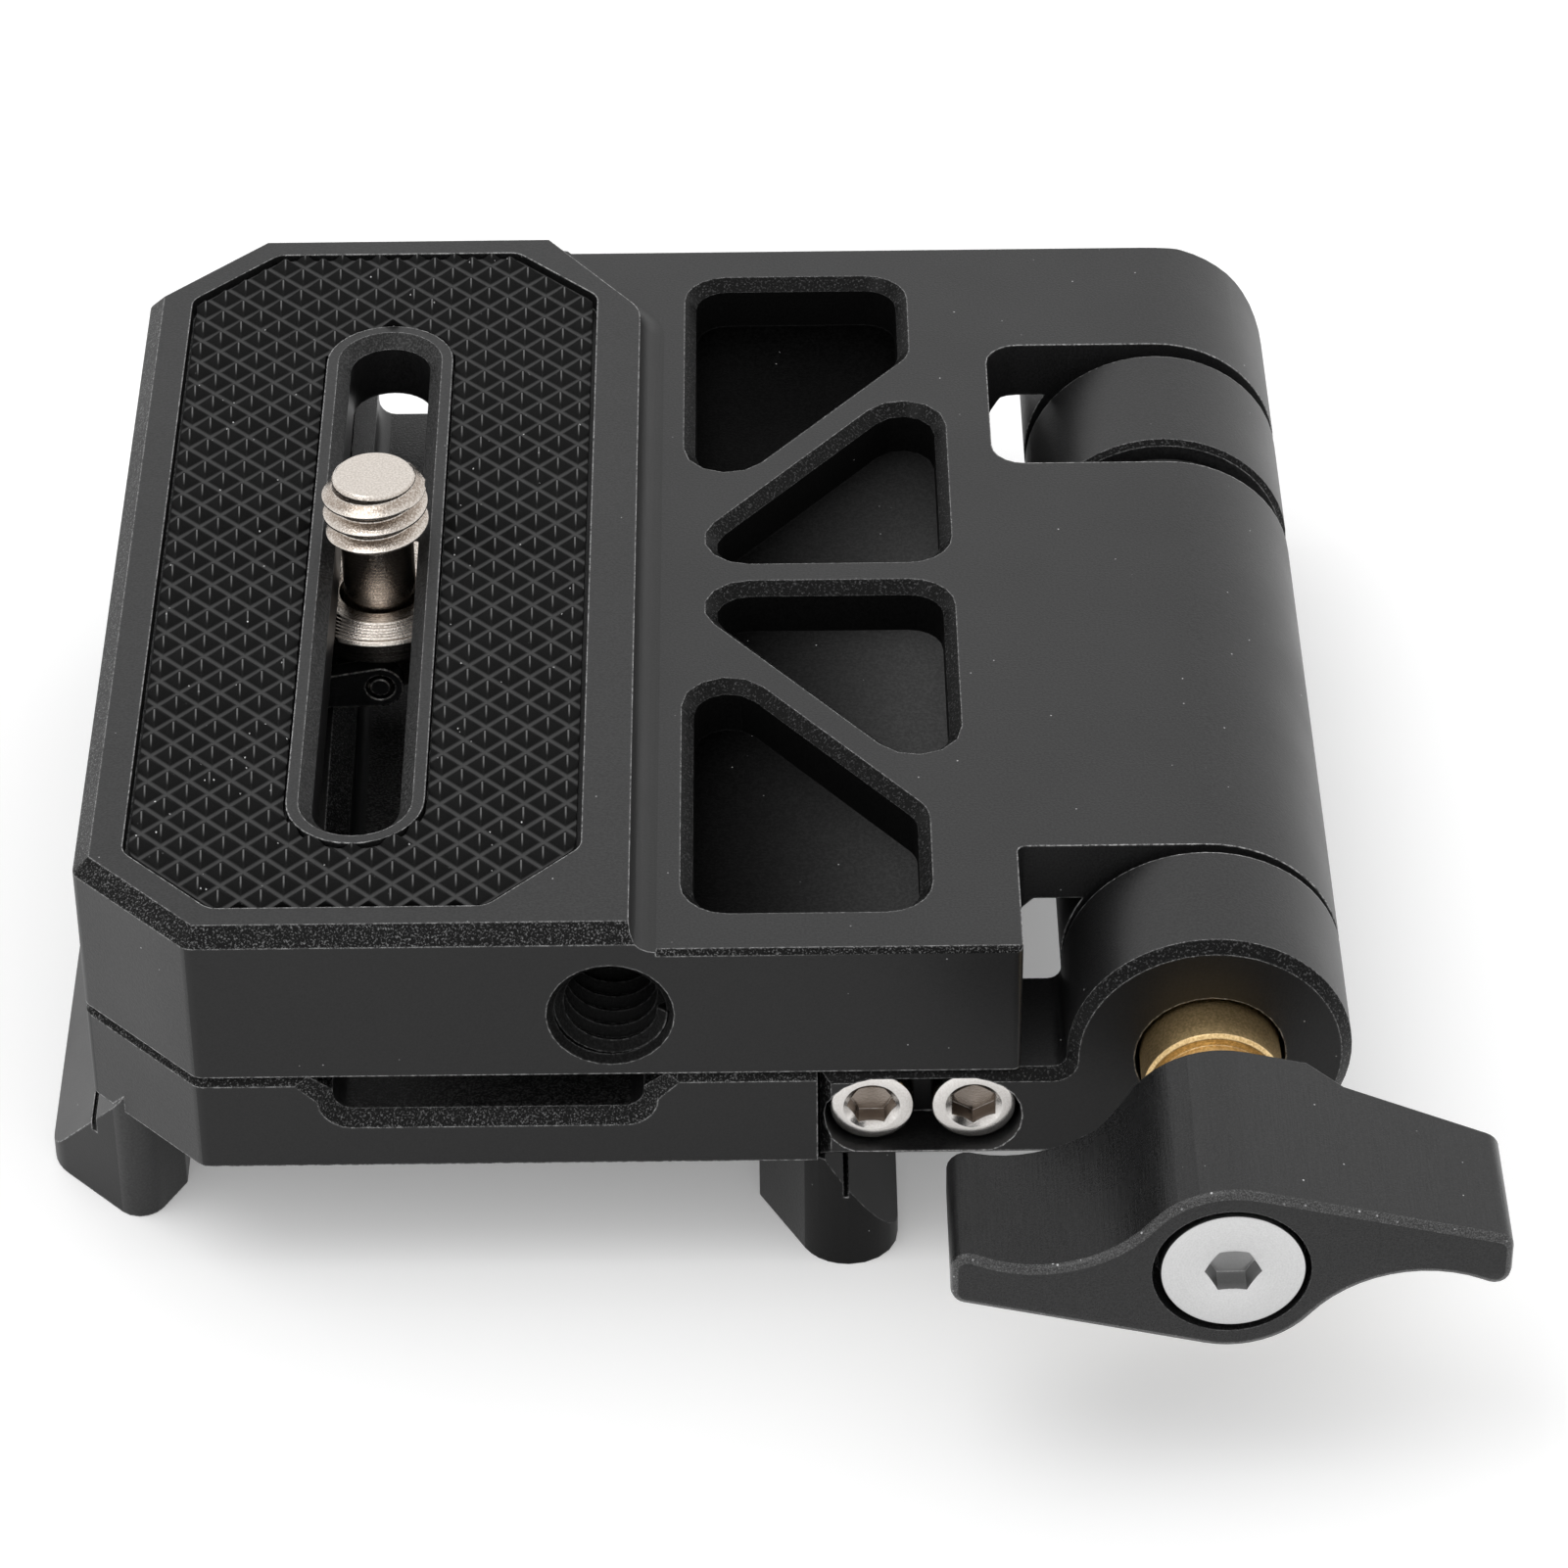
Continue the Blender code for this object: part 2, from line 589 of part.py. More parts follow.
# The arm's section: a round eye on a flat foot, with a small fillet above the foot.
def arm_section():
    top_rise = LOWER_TOP - AXIS_HEIGHT
    bottom_rise = LOWER_BOTTOM - AXIS_HEIGHT
    fillet_x = -sqrt((BARREL_RADIUS + ARM_FILLET) ** 2 - (top_rise + ARM_FILLET) ** 2)
    fillet_centre = (fillet_x, LOWER_TOP + ARM_FILLET)
    eye_end = atan2(top_rise + ARM_FILLET, fillet_x) + 2 * pi
    eye_start = -pi + asin(-bottom_rise / BARREL_RADIUS)
    if eye_end > pi * 1.5:
        eye_end -= 2 * pi
    points = [Vector((-ARM_FOOT_LEFT, LOWER_BOTTOM))]
    points += arc(AXIS_CENTRE, BARREL_RADIUS, eye_start, eye_end, ROUND_STEPS)
    toward_eye = atan2(AXIS_HEIGHT - fillet_centre[1], -fillet_x)
    points += arc(fillet_centre, ARM_FILLET, toward_eye, -pi / 2, CORNER_STEPS)[1:]
    points.append(Vector((-ARM_FOOT_LEFT, LOWER_TOP)))
    return points


def build_hinge_arm():
    arm = loft("hinge_arm", arm_section(), (
        (0.0, ARM_EDGE_CHAMFER), (ARM_EDGE_CHAMFER, 0.0), (ARM_DEPTH, 0.0)), "Y")
    over = CUT_OVERRUN
    collar_recess = prism("collar_recess", circle(NUT_COLLAR_RADIUS + FIT_GAP, BORE_STEPS, AXIS_CENTRE),
                          -over, NUT_COLLAR_SINK + FIT_GAP, "Y")
    washer_front = BARREL_FRONT - FIT_GAP - FRONT_WASHER_THICKNESS
    washer_recess = prism("washer_recess", circle(FRONT_WASHER_RADIUS + FIT_GAP, BORE_STEPS, AXIS_CENTRE),
                          washer_front - FIT_GAP, ARM_DEPTH + over, "Y")
    bore = prism("arm_bore", circle(BOLT_BORE, BORE_STEPS, AXIS_CENTRE), 0.0, ARM_DEPTH, "Y")
    recess_left = -ARM_SCREW_LEFT - ARM_RECESS_RADIUS
    recess_right = -ARM_SCREW_RIGHT + ARM_RECESS_RADIUS
    low = ARM_SCREW_HEIGHT - ARM_RECESS_RADIUS
    high = ARM_SCREW_HEIGHT + ARM_RECESS_RADIUS
    rounding = ARM_RECESS_RADIUS * SIDE_USE
    recess = rounded([(recess_left, low, rounding), (recess_right, low, rounding),
                      (recess_right, high, rounding), (recess_left, high, rounding)])
    recess_floor = ARM_SCREW_INSET + ARM_SCREW_HEAD_LENGTH + FIT_GAP
    cut(arm, collar_recess, washer_recess, bore, prism("screw_recess", recess, -over, recess_floor, "Y"))
    for side, place in (("left", ARM_SCREW_LEFT), ("right", ARM_SCREW_RIGHT)):
        outline = circle(ARM_SCREW_RADIUS + FIT_GAP, BORE_STEPS, (-place, ARM_SCREW_HEIGHT))
        cut(arm, prism("clearance_hole_" + side, outline, recess_floor - over, ARM_DEPTH + over, "Y"))
    finish(arm, "black_anodised")


def build_arm_screws():
    for side, place in (("left", ARM_SCREW_LEFT), ("right", ARM_SCREW_RIGHT)):
        centre = (-place, ARM_SCREW_HEIGHT)
        head_back = ARM_SCREW_INSET + ARM_SCREW_HEAD_LENGTH
        edge = ARM_SCREW_HEAD_RADIUS * EDGE_BREAK
        screw = turned("arm_screw_" + side, (
            (ARM_SCREW_INSET, ARM_SCREW_HEAD_RADIUS - edge), (ARM_SCREW_INSET + edge, ARM_SCREW_HEAD_RADIUS),
            (head_back, ARM_SCREW_HEAD_RADIUS), (head_back, ARM_SCREW_RADIUS),
            (head_back + ARM_SCREW_LENGTH, ARM_SCREW_RADIUS)), centre)
        socket = prism("arm_screw_key_" + side, hexagon(ARM_SCREW_KEY, centre, pi / 2 if side == "left" else 0.0),
                       ARM_SCREW_INSET - CUT_OVERRUN, ARM_SCREW_INSET + ARM_SCREW_KEY_DEPTH, "Y")
        cut(screw, socket)
        finish(screw, "plated_steel")


# Upper plate

# Section looking along Y: a flat plate that thins towards its round barrel.
def upper_section():
    web_bottom = UPPER_TOP - HINGE_WEB
    web_rise = web_bottom - AXIS_HEIGHT
    slope_foot = HINGE_WEB_REACH + (web_bottom - UPPER_BOTTOM)
    barrel_start = acos(-sqrt(BARREL_RADIUS ** 2 - web_rise ** 2) / BARREL_RADIUS)
    points = [Vector((-PLATE_LEFT - CUT_OVERRUN, UPPER_BOTTOM)), Vector((-slope_foot, UPPER_BOTTOM)),
              Vector((-HINGE_WEB_REACH, web_bottom))]
    points += arc(AXIS_CENTRE, BARREL_RADIUS, barrel_start, 2.5 * pi, ROUND_STEPS)
    points.append(Vector((-PLATE_LEFT - CUT_OVERRUN, UPPER_TOP)))
    return points


# The raised seat flares into the low level round its right side and back corner.
def platform_solid():
    over = 3 * CUT_OVERRUN
    run = PLATFORM_CORNER_WIDTH / PLATFORM_CORNER_DEPTH
    corner_y = PLATE_DEPTH - PLATFORM_CORNER_DEPTH
    far_y = PLATE_DEPTH + over
    far_x = -PLATFORM_RIGHT - run * (far_y - corner_y)
    flare_plan = rounded([
        (-PLATE_LEFT - over, -over, 0.0), (-PLATFORM_RIGHT, -over, 0.0),
        (-PLATFORM_RIGHT, corner_y, PLATFORM_RISE * 2), (far_x, far_y, 0.0),
        (-PLATE_LEFT - over, far_y, 0.0)])
    levels = [(UPPER_TOP - UPPER_THICKNESS / 3, -PLATFORM_RISE)]
    for step in range(CORNER_STEPS + 1):
        angle = pi / 2 * step / CORNER_STEPS
        levels.append((UPPER_TOP + PLATFORM_RISE * (1 - cos(angle)), -PLATFORM_RISE * (1 - sin(angle))))
    levels.append((PLATFORM_TOP + over, 0.0))
    flare = loft("platform", flare_plan, levels)
    block = loft("platform_block", plate_plan(0.0), (
        (UPPER_TOP - UPPER_THICKNESS / 2, 0.0), (PLATFORM_TOP - PLATFORM_EDGE_CHAMFER, 0.0),
        (PLATFORM_TOP, PLATFORM_EDGE_CHAMFER)))
    return keep_inside(flare, block)


# Two pockets behind the middle, parted by a slanting rib, and their mirror images.
def pocket_outlines():
    middle = PLATE_DEPTH / 2
    slope = tan(radians(POCKET_RIB_ANGLE))
    half_rib = POCKET_RIB / 2 / cos(radians(POCKET_RIB_ANGLE))
    cross_x = -(POCKET_LEFT + POCKET_RIGHT) / 2
    cross_y = middle + (middle - POCKET_MARGIN) * POCKET_CROSSING_SHARE

    def rib_line(x, shift):
        return cross_y + (x - cross_x) * slope + shift

    back = PLATE_DEPTH - POCKET_MARGIN
    front = middle + POCKET_RIB / 2
    front_x = cross_x + (front + half_rib - cross_y) / slope
    outer = rounded([
        (-POCKET_LEFT, back, POCKET_RADIUS), (-POCKET_LEFT, rib_line(-POCKET_LEFT, half_rib), POCKET_RADIUS),
        (-POCKET_INNER, rib_line(-POCKET_INNER, half_rib), POCKET_RADIUS),
        (-POCKET_INNER, back, POCKET_RADIUS)])
    inner = rounded([
        (front_x, front, POCKET_RADIUS), (-POCKET_RIGHT, front, POCKET_RADIUS),
        (-POCKET_RIGHT, rib_line(-POCKET_RIGHT, -half_rib), POCKET_RADIUS)])
    return [outer, inner, mirrored(inner, middle), mirrored(outer, middle)]


def pad_plan(extra):
    half = PAD_WIDTH / 2
    outline = rounded([
        (-PAD_CENTRE - half + PAD_CORNER, PAD_FRONT, PAD_CORNER_RADIUS),
        (-PAD_CENTRE + half - PAD_CORNER, PAD_FRONT, PAD_CORNER_RADIUS),
        (-PAD_CENTRE + half, PAD_FRONT + PAD_CORNER, PAD_CORNER_RADIUS),
        (-PAD_CENTRE + half, PAD_BACK - PAD_CORNER, PAD_CORNER_RADIUS),
        (-PAD_CENTRE + half - PAD_CORNER, PAD_BACK, PAD_CORNER_RADIUS),
        (-PAD_CENTRE - half + PAD_CORNER, PAD_BACK, PAD_CORNER_RADIUS),
        (-PAD_CENTRE - half, PAD_BACK - PAD_CORNER, PAD_CORNER_RADIUS),
        (-PAD_CENTRE - half, PAD_FRONT + PAD_CORNER, PAD_CORNER_RADIUS)])
    return inset(outline, -extra)


def slot_plan(extra):
    return stadium(-PAD_CENTRE, SLOT_FRONT - extra, SLOT_BACK + extra, SLOT_RADIUS + extra)


def slot_tools():
    over = CUT_OVERRUN
    half_gap = FIT_GAP / 2
    pad_seat = prism("pad_seat", pad_plan(half_gap), PLATFORM_TOP - PAD_SINK, PLATFORM_TOP + over)
    lip = prism("slot_lip", slot_plan(LIP_RADIUS - SLOT_RADIUS), PLATFORM_TOP - 2 * PAD_SINK,
                PLATFORM_TOP + 2 * over)
    cut(pad_seat, lip)
    slot = loft("slot", slot_plan(0.0), (
        (BAY_ROOF - over, 0.0), (PLATFORM_TOP - SLOT_BEVEL, 0.0),
        (PLATFORM_TOP + over, -SLOT_BEVEL - over)))
    left = -PAD_CENTRE - BAY_HALF_WIDTH
    right = -PAD_CENTRE + BAY_HALF_WIDTH
    bay = prism("screw_bay", rounded([
        (left, BAY_FRONT, BAY_RADIUS), (right, BAY_FRONT, BAY_RADIUS),
        (right, BAY_BACK, BAY_RADIUS), (left, BAY_BACK, BAY_RADIUS)]), UPPER_BOTTOM - over, BAY_ROOF)
    return pad_seat, slot, bay


def side_hole_tool():
    mouth = THREAD_RADIUS + SIDE_HOLE_COUNTERSINK
    return turned("side_hole", (
        (-CUT_OVERRUN, mouth + CUT_OVERRUN), (SIDE_HOLE_COUNTERSINK, THREAD_RADIUS),
        (SIDE_HOLE_DEPTH, THREAD_RADIUS), (SIDE_HOLE_DEPTH + THREAD_RADIUS / 3, THREAD_RADIUS / 2)),
        (-SIDE_HOLE_PLACE, UPPER_TOP - SIDE_HOLE_DROP))


def notch_tool(name, front, back, reach, radius):
    far = BARREL_RADIUS + CUT_OVERRUN
    over = CUT_OVERRUN
    return prism(name, rounded([(-reach, front, radius), (far, front, 0.0), (far, back, 0.0),
                                (-reach, back, radius)]),
                 AXIS_HEIGHT - BARREL_RADIUS - over, UPPER_TOP + over)


def build_upper_plate():
    over = CUT_OVERRUN
    plate = prism("upper_plate", upper_section(), -over, PLATE_DEPTH + over, "Y")
    plan = plate_plan(BARREL_RADIUS + FIT_GAP / 2, BACK_CORNER_RADIUS)
    trim = loft("upper_trim", plan, (
        (AXIS_HEIGHT - BARREL_RADIUS - over, 0.0), (UPPER_TOP - UPPER_EDGE_CHAMFER, 0.0),
        (UPPER_TOP + FIT_GAP, UPPER_EDGE_CHAMFER + FIT_GAP)))
    front_left = -2 * HINGE_WEB_REACH
    front_back = BARREL_FRONT - HINGE_RELIEF_LEAD
    front_edge = prism("front_edge", [
        Vector((front_left, -over)), Vector((0.0, -over)), Vector((0.0, front_back)),
        Vector((front_left, front_back))], UPPER_BOTTOM, UPPER_TOP - UPPER_THICKNESS / 3)
    join(plate, front_edge)
    keep_inside(plate, trim)
    join(plate, platform_solid())
    cut(plate, *slot_tools())
    floor = UPPER_TOP - POCKET_DEPTH
    for index, outline in enumerate(pocket_outlines()):
        cut(plate, loft("pocket_%d" % (index + 1), outline, (
            (floor, POCKET_CHAMFER), (UPPER_TOP - POCKET_CHAMFER, POCKET_CHAMFER), (UPPER_TOP + over, -over))))
    cut(plate, notch_tool("arm_notch", -BARREL_FRONT, BARREL_FRONT, KNUCKLE_NOTCH_REACH, ARM_NOTCH_RADIUS),
        notch_tool("knuckle_notch", BARREL_BACK, TAIL_FRONT, KNUCKLE_NOTCH_REACH, KNUCKLE_NOTCH_RADIUS),
        side_hole_tool())
    bush_bore = HINGE_BOLT_RADIUS + FIT_GAP + BUSH_WALL + FIT_GAP
    barrel_bore = prism("barrel_bore", circle(bush_bore, BORE_STEPS, AXIS_CENTRE),
                        BARREL_FRONT - over, BARREL_BACK + over, "Y")
    tail_bore = turned("tail_bore", (
        (TAIL_FRONT - over, BOLT_BORE), (HEAD_WASHER_FRONT - FIT_GAP, BOLT_BORE),
        (HEAD_WASHER_FRONT - FIT_GAP, HINGE_BOLT_HEAD_RADIUS + FIT_GAP),
        (PLATE_DEPTH + over, HINGE_BOLT_HEAD_RADIUS + FIT_GAP)), AXIS_CENTRE)
    cut(plate, barrel_bore, tail_bore)
    set_origin(plate, HINGE_AXIS)
    finish(plate, "black_anodised")


# The pad's face is a field of four-sided pyramids set cornerwise. Every second grid point
# is a peak, and each grid square is split along its valley.
def build_grip_pad():
    half_pitch = PYRAMID_PITCH / 2
    left = -PAD_CENTRE - PAD_WIDTH / 2 - half_pitch
    front = PAD_FRONT - half_pitch
    columns = int(PAD_WIDTH / half_pitch) + 3
    rows = int((PAD_BACK - PAD_FRONT) / half_pitch) + 3
    valley = PLATFORM_TOP - PYRAMID_SINK
    base = PLATFORM_TOP - PAD_SINK + FIT_GAP
    data = bmesh.new()
    grid = [[data.verts.new((left + i * half_pitch, front + j * half_pitch,
                             valley + (PYRAMID_HEIGHT if (i + j) % 2 else 0.0)))
             for j in range(rows + 1)] for i in range(columns + 1)]
    for i in range(columns):
        for j in range(rows):
            near, right, far, top = grid[i][j], grid[i + 1][j], grid[i + 1][j + 1], grid[i][j + 1]
            if (i + j) % 2:
                data.faces.new((near, right, top))
                data.faces.new((right, far, top))
            else:
                data.faces.new((near, right, far))
                data.faces.new((near, far, top))
    rim = ([grid[i][0] for i in range(columns)] + [grid[columns][j] for j in range(rows)]
           + [grid[i][rows] for i in range(columns, 0, -1)] + [grid[0][j] for j in range(rows, 0, -1)])
    under = [data.verts.new((vert.co.x, vert.co.y, base - PAD_SINK)) for vert in rim]
    for i in range(len(rim)):
        j = (i + 1) % len(rim)
        data.faces.new((under[i], under[j], rim[j], rim[i]))
    data.faces.new(under)
    pad = new_object("grip_pad", data, smooth_angle=10.0)
    trim = prism("pad_trim", pad_plan(-FIT_GAP / 2), base, PLATFORM_TOP + 2 * PYRAMID_HEIGHT)
    hole = prism("pad_hole", slot_plan(LIP_RADIUS - SLOT_RADIUS + FIT_GAP / 2),
                 base - CUT_OVERRUN, PLATFORM_TOP + 3 * PYRAMID_HEIGHT)
    keep_inside(pad, trim)
    cut(pad, hole)
    set_origin(pad, HINGE_AXIS)
    finish(pad, "black_rubber")


# Camera screw

def build_camera_screw():
    centre = (-PAD_CENTRE, SCREW_PLACE)
    washer_bottom = SCREW_SEAT - SEAT_WASHER_THICKNESS
    washer = sleeve("seat_washer", washer_bottom, SCREW_SEAT, SEAT_WASHER_RADIUS,
                    NECK_RADIUS + FIT_GAP, centre, "Z", edge=SEAT_WASHER_THICKNESS / 5, steps=ROUND_STEPS)
    set_origin(washer, SCREW_AXIS)
    finish(washer, "plated_steel")
    top = PLATFORM_TOP + SCREW_HEIGHT
    thread_bottom = top - THREAD_LENGTH
    flange_top = washer_bottom - FIT_GAP
    boss_bottom = FLANGE_BOTTOM - BOSS_HEIGHT
    ease = BOSS_RADIUS * EDGE_BREAK
    screw = turned("camera_screw", (
        (top, THREAD_RADIUS - THREAD_TOP_CHAMFER), (top - THREAD_TOP_CHAMFER, THREAD_RADIUS),
        (thread_bottom + THREAD_TOP_CHAMFER, THREAD_RADIUS), (thread_bottom, NECK_RADIUS),
        (flange_top, NECK_RADIUS), (flange_top, FLANGE_RADIUS), (FLANGE_BOTTOM, FLANGE_RADIUS),
        (FLANGE_BOTTOM, BOSS_RADIUS), (boss_bottom + ease, BOSS_RADIUS), (boss_bottom, BOSS_RADIUS - ease)),
        centre, "Z", steps=BORE_STEPS)
    pin_centre = (-PAD_CENTRE, RING_AXIS)
    pin_bore = circle(RING_PIN_RADIUS + FIT_GAP, 20, pin_centre)
    cut(screw, prism("pin_bore", pin_bore, SCREW_PLACE - 2 * BOSS_RADIUS, SCREW_PLACE + 2 * BOSS_RADIUS, "Y"))
    set_origin(screw, SCREW_AXIS)
    finish(screw, "plated_steel")
    leg_inner = BOSS_RADIUS + FIT_GAP
    leg_outer = leg_inner + RING_LEG_WIDTH
    build_screw_ring(leg_inner, leg_outer)
    pin_reach = leg_outer
    pin = turned("ring_pin", (
        (SCREW_PLACE - pin_reach, RING_PIN_RADIUS), (SCREW_PLACE + pin_reach, RING_PIN_RADIUS)),
        pin_centre, steps=20)
    set_origin(pin, SCREW_AXIS)
    finish(pin, "black_steel")


# The ring is a U-shaped bail, hanging a little: its plan gives the legs and the round pull,
# and its side view gives the round eyes and the thinner pull.
def build_screw_ring(leg_inner, leg_outer):
    x, y = -PAD_CENTRE, SCREW_PLACE
    eye = x + RING_EYE_RADIUS
    pull = x - RING_REACH
    inner_pull = pull + RING_LEG_WIDTH
    round_out = leg_outer * RING_CORNER_SHARE
    round_in = leg_inner * RING_CORNER_SHARE
    plan = rounded([
        (eye, y - leg_outer, 0.0), (eye, y - leg_inner, 0.0), (inner_pull, y - leg_inner, round_in),
        (inner_pull, y + leg_inner, round_in), (eye, y + leg_inner, 0.0), (eye, y + leg_outer, 0.0),
        (pull, y + leg_outer, round_out), (pull, y - leg_outer, round_out)])
    ring = prism("screw_ring", plan, RING_AXIS - 2 * RING_EYE_RADIUS, RING_AXIS + 2 * RING_EYE_RADIUS)
    half = RING_THICKNESS / 2
    taper = asin((RING_EYE_RADIUS - half) / RING_REACH)
    side = arc((0.0, 0.0), RING_EYE_RADIUS, taper - pi / 2, pi / 2 - taper, 12)
    side += [Vector((-RING_REACH - half, half)), Vector((-RING_REACH - half, -half))]
    for point in side:
        point.rotate(Matrix.Rotation(radians(RING_DROOP), 2))
    side = [Vector((x + point.x, RING_AXIS + point.y)) for point in side]
    keep_inside(ring, prism("ring_side", side, y - 2 * leg_outer, y + 2 * leg_outer, "Y"))
    eye_bore = circle(RING_PIN_RADIUS + FIT_GAP, 20, (x, RING_AXIS))
    cut(ring, prism("eye_bore", eye_bore, y - 2 * leg_outer, y + 2 * leg_outer, "Y"))
    set_origin(ring, RING_PIVOT)
    finish(ring, "black_steel")


# Hinge stack

def build_hinge_stack():
    bolt_front = NUT_COLLAR_SINK - NUT_THREAD_DEPTH + FIT_GAP
    edge = HINGE_BOLT_RADIUS * EDGE_BREAK
    bolt = turned("hinge_bolt", (
        (bolt_front, HINGE_BOLT_RADIUS - edge), (bolt_front + edge, HINGE_BOLT_RADIUS),
        (BOLT_HEAD_FRONT, HINGE_BOLT_RADIUS), (BOLT_HEAD_FRONT, HINGE_BOLT_HEAD_RADIUS),
        (BOLT_HEAD_BACK - edge, HINGE_BOLT_HEAD_RADIUS), (BOLT_HEAD_BACK, HINGE_BOLT_HEAD_RADIUS - edge)),
        AXIS_CENTRE)
    cut(bolt, prism("bolt_key", hexagon(HINGE_BOLT_KEY, AXIS_CENTRE), BOLT_HEAD_BACK - HINGE_BOLT_KEY_DEPTH,
                    BOLT_HEAD_BACK + CUT_OVERRUN, "Y"))
    set_origin(bolt, HINGE_AXIS)
    finish(bolt, "satin_steel")
    washer = sleeve("bolt_washer", HEAD_WASHER_FRONT, HEAD_WASHER_FRONT + HEAD_WASHER_THICKNESS,
                    HINGE_BOLT_HEAD_RADIUS, BOLT_BORE, AXIS_CENTRE)
    set_origin(washer, HINGE_AXIS)
    finish(washer, "satin_steel")
    bush_outer = BOLT_BORE + BUSH_WALL
    for name, front in (("front_bush", BARREL_FRONT + FIT_GAP),
                        ("rear_bush", BARREL_BACK - FIT_GAP - BUSH_LENGTH)):
        bush = sleeve(name, front, front + BUSH_LENGTH, bush_outer, BOLT_BORE, AXIS_CENTRE)
        set_origin(bush, HINGE_AXIS)
        finish(bush, "bronze")
    thrust = (
        ("front_thrust_washer", BARREL_FRONT - FIT_GAP - FRONT_WASHER_THICKNESS, BARREL_FRONT - FIT_GAP,
         FRONT_WASHER_RADIUS, "satin_steel"),
        ("middle_thrust_washer", BARREL_BACK + FIT_GAP, KNUCKLE_FRONT - FIT_GAP, SIDE_WASHER_RADIUS,
         "black_nylon"),
        ("rear_thrust_washer", KNUCKLE_BACK + FIT_GAP, TAIL_FRONT - FIT_GAP, SIDE_WASHER_RADIUS,
         "black_nylon"),
    )
    for name, front, back, radius, finish_name in thrust:
        finish(sleeve(name, front, back, radius, BOLT_BORE, AXIS_CENTRE, steps=ROUND_STEPS), finish_name)


# Knob

# One wing from the scoop under it to the straight edge above it. Half a turn gives the other.
def knob_outline():
    scoop_angle = radians(KNOB_SCOOP_ANGLE)
    reach = KNOB_HUB_RADIUS + KNOB_SCOOP_RADIUS
    scoop = Vector((reach * cos(scoop_angle), reach * sin(scoop_angle)))
    end = radians(KNOB_SCOOP_END)
    wing = arc(scoop, KNOB_SCOOP_RADIUS, pi + scoop_angle, end, 12)
    heading = Vector((sin(end), -cos(end)))
    low_tip = wing[-1] + heading * ((KNOB_REACH - wing[-1].x) / heading.x)
    edge_angle = radians(90.0 - KNOB_WING_ANGLE)
    touch = Vector((cos(edge_angle), sin(edge_angle))) * KNOB_HUB_RADIUS
    high_tip_y = touch.y - (KNOB_REACH - touch.x) * tan(radians(KNOB_WING_ANGLE))
    tip = rounded([(*wing[-1], 0.0), (low_tip.x, low_tip.y, KNOB_TIP_RADIUS),
                   (KNOB_REACH, high_tip_y, KNOB_TIP_RADIUS), (*touch, 0.0)])
    hub = arc((0.0, 0.0), KNOB_HUB_RADIUS, edge_angle, pi + scoop_angle, 10)
    half = wing[:-1] + tip + hub[1:-1]
    whole = half + [-point for point in half]
    return [Vector((point.x, point.y + AXIS_HEIGHT)) for point in whole]


# The wings fall away behind the hub, so each gets a sloping cut.
def wing_back_tool(name, side):
    root = KNOB_HUB_RADIUS * KNOB_WING_ROOT
    shoulder = KNOB_HUB_RADIUS * KNOB_WING_SHOULDER
    far = KNOB_REACH + CUT_OVERRUN
    outline = [Vector((side * root, -KNOB_HUB_BACK + CUT_OVERRUN)), Vector((side * root, -KNOB_HUB_BACK)),
               Vector((side * shoulder, -KNOB_WING_BACK)), Vector((side * far, -KNOB_TIP_BACK)),
               Vector((side * far, -KNOB_HUB_BACK + CUT_OVERRUN))]
    return prism(name, outline, AXIS_HEIGHT - KNOB_REACH, AXIS_HEIGHT + KNOB_REACH)


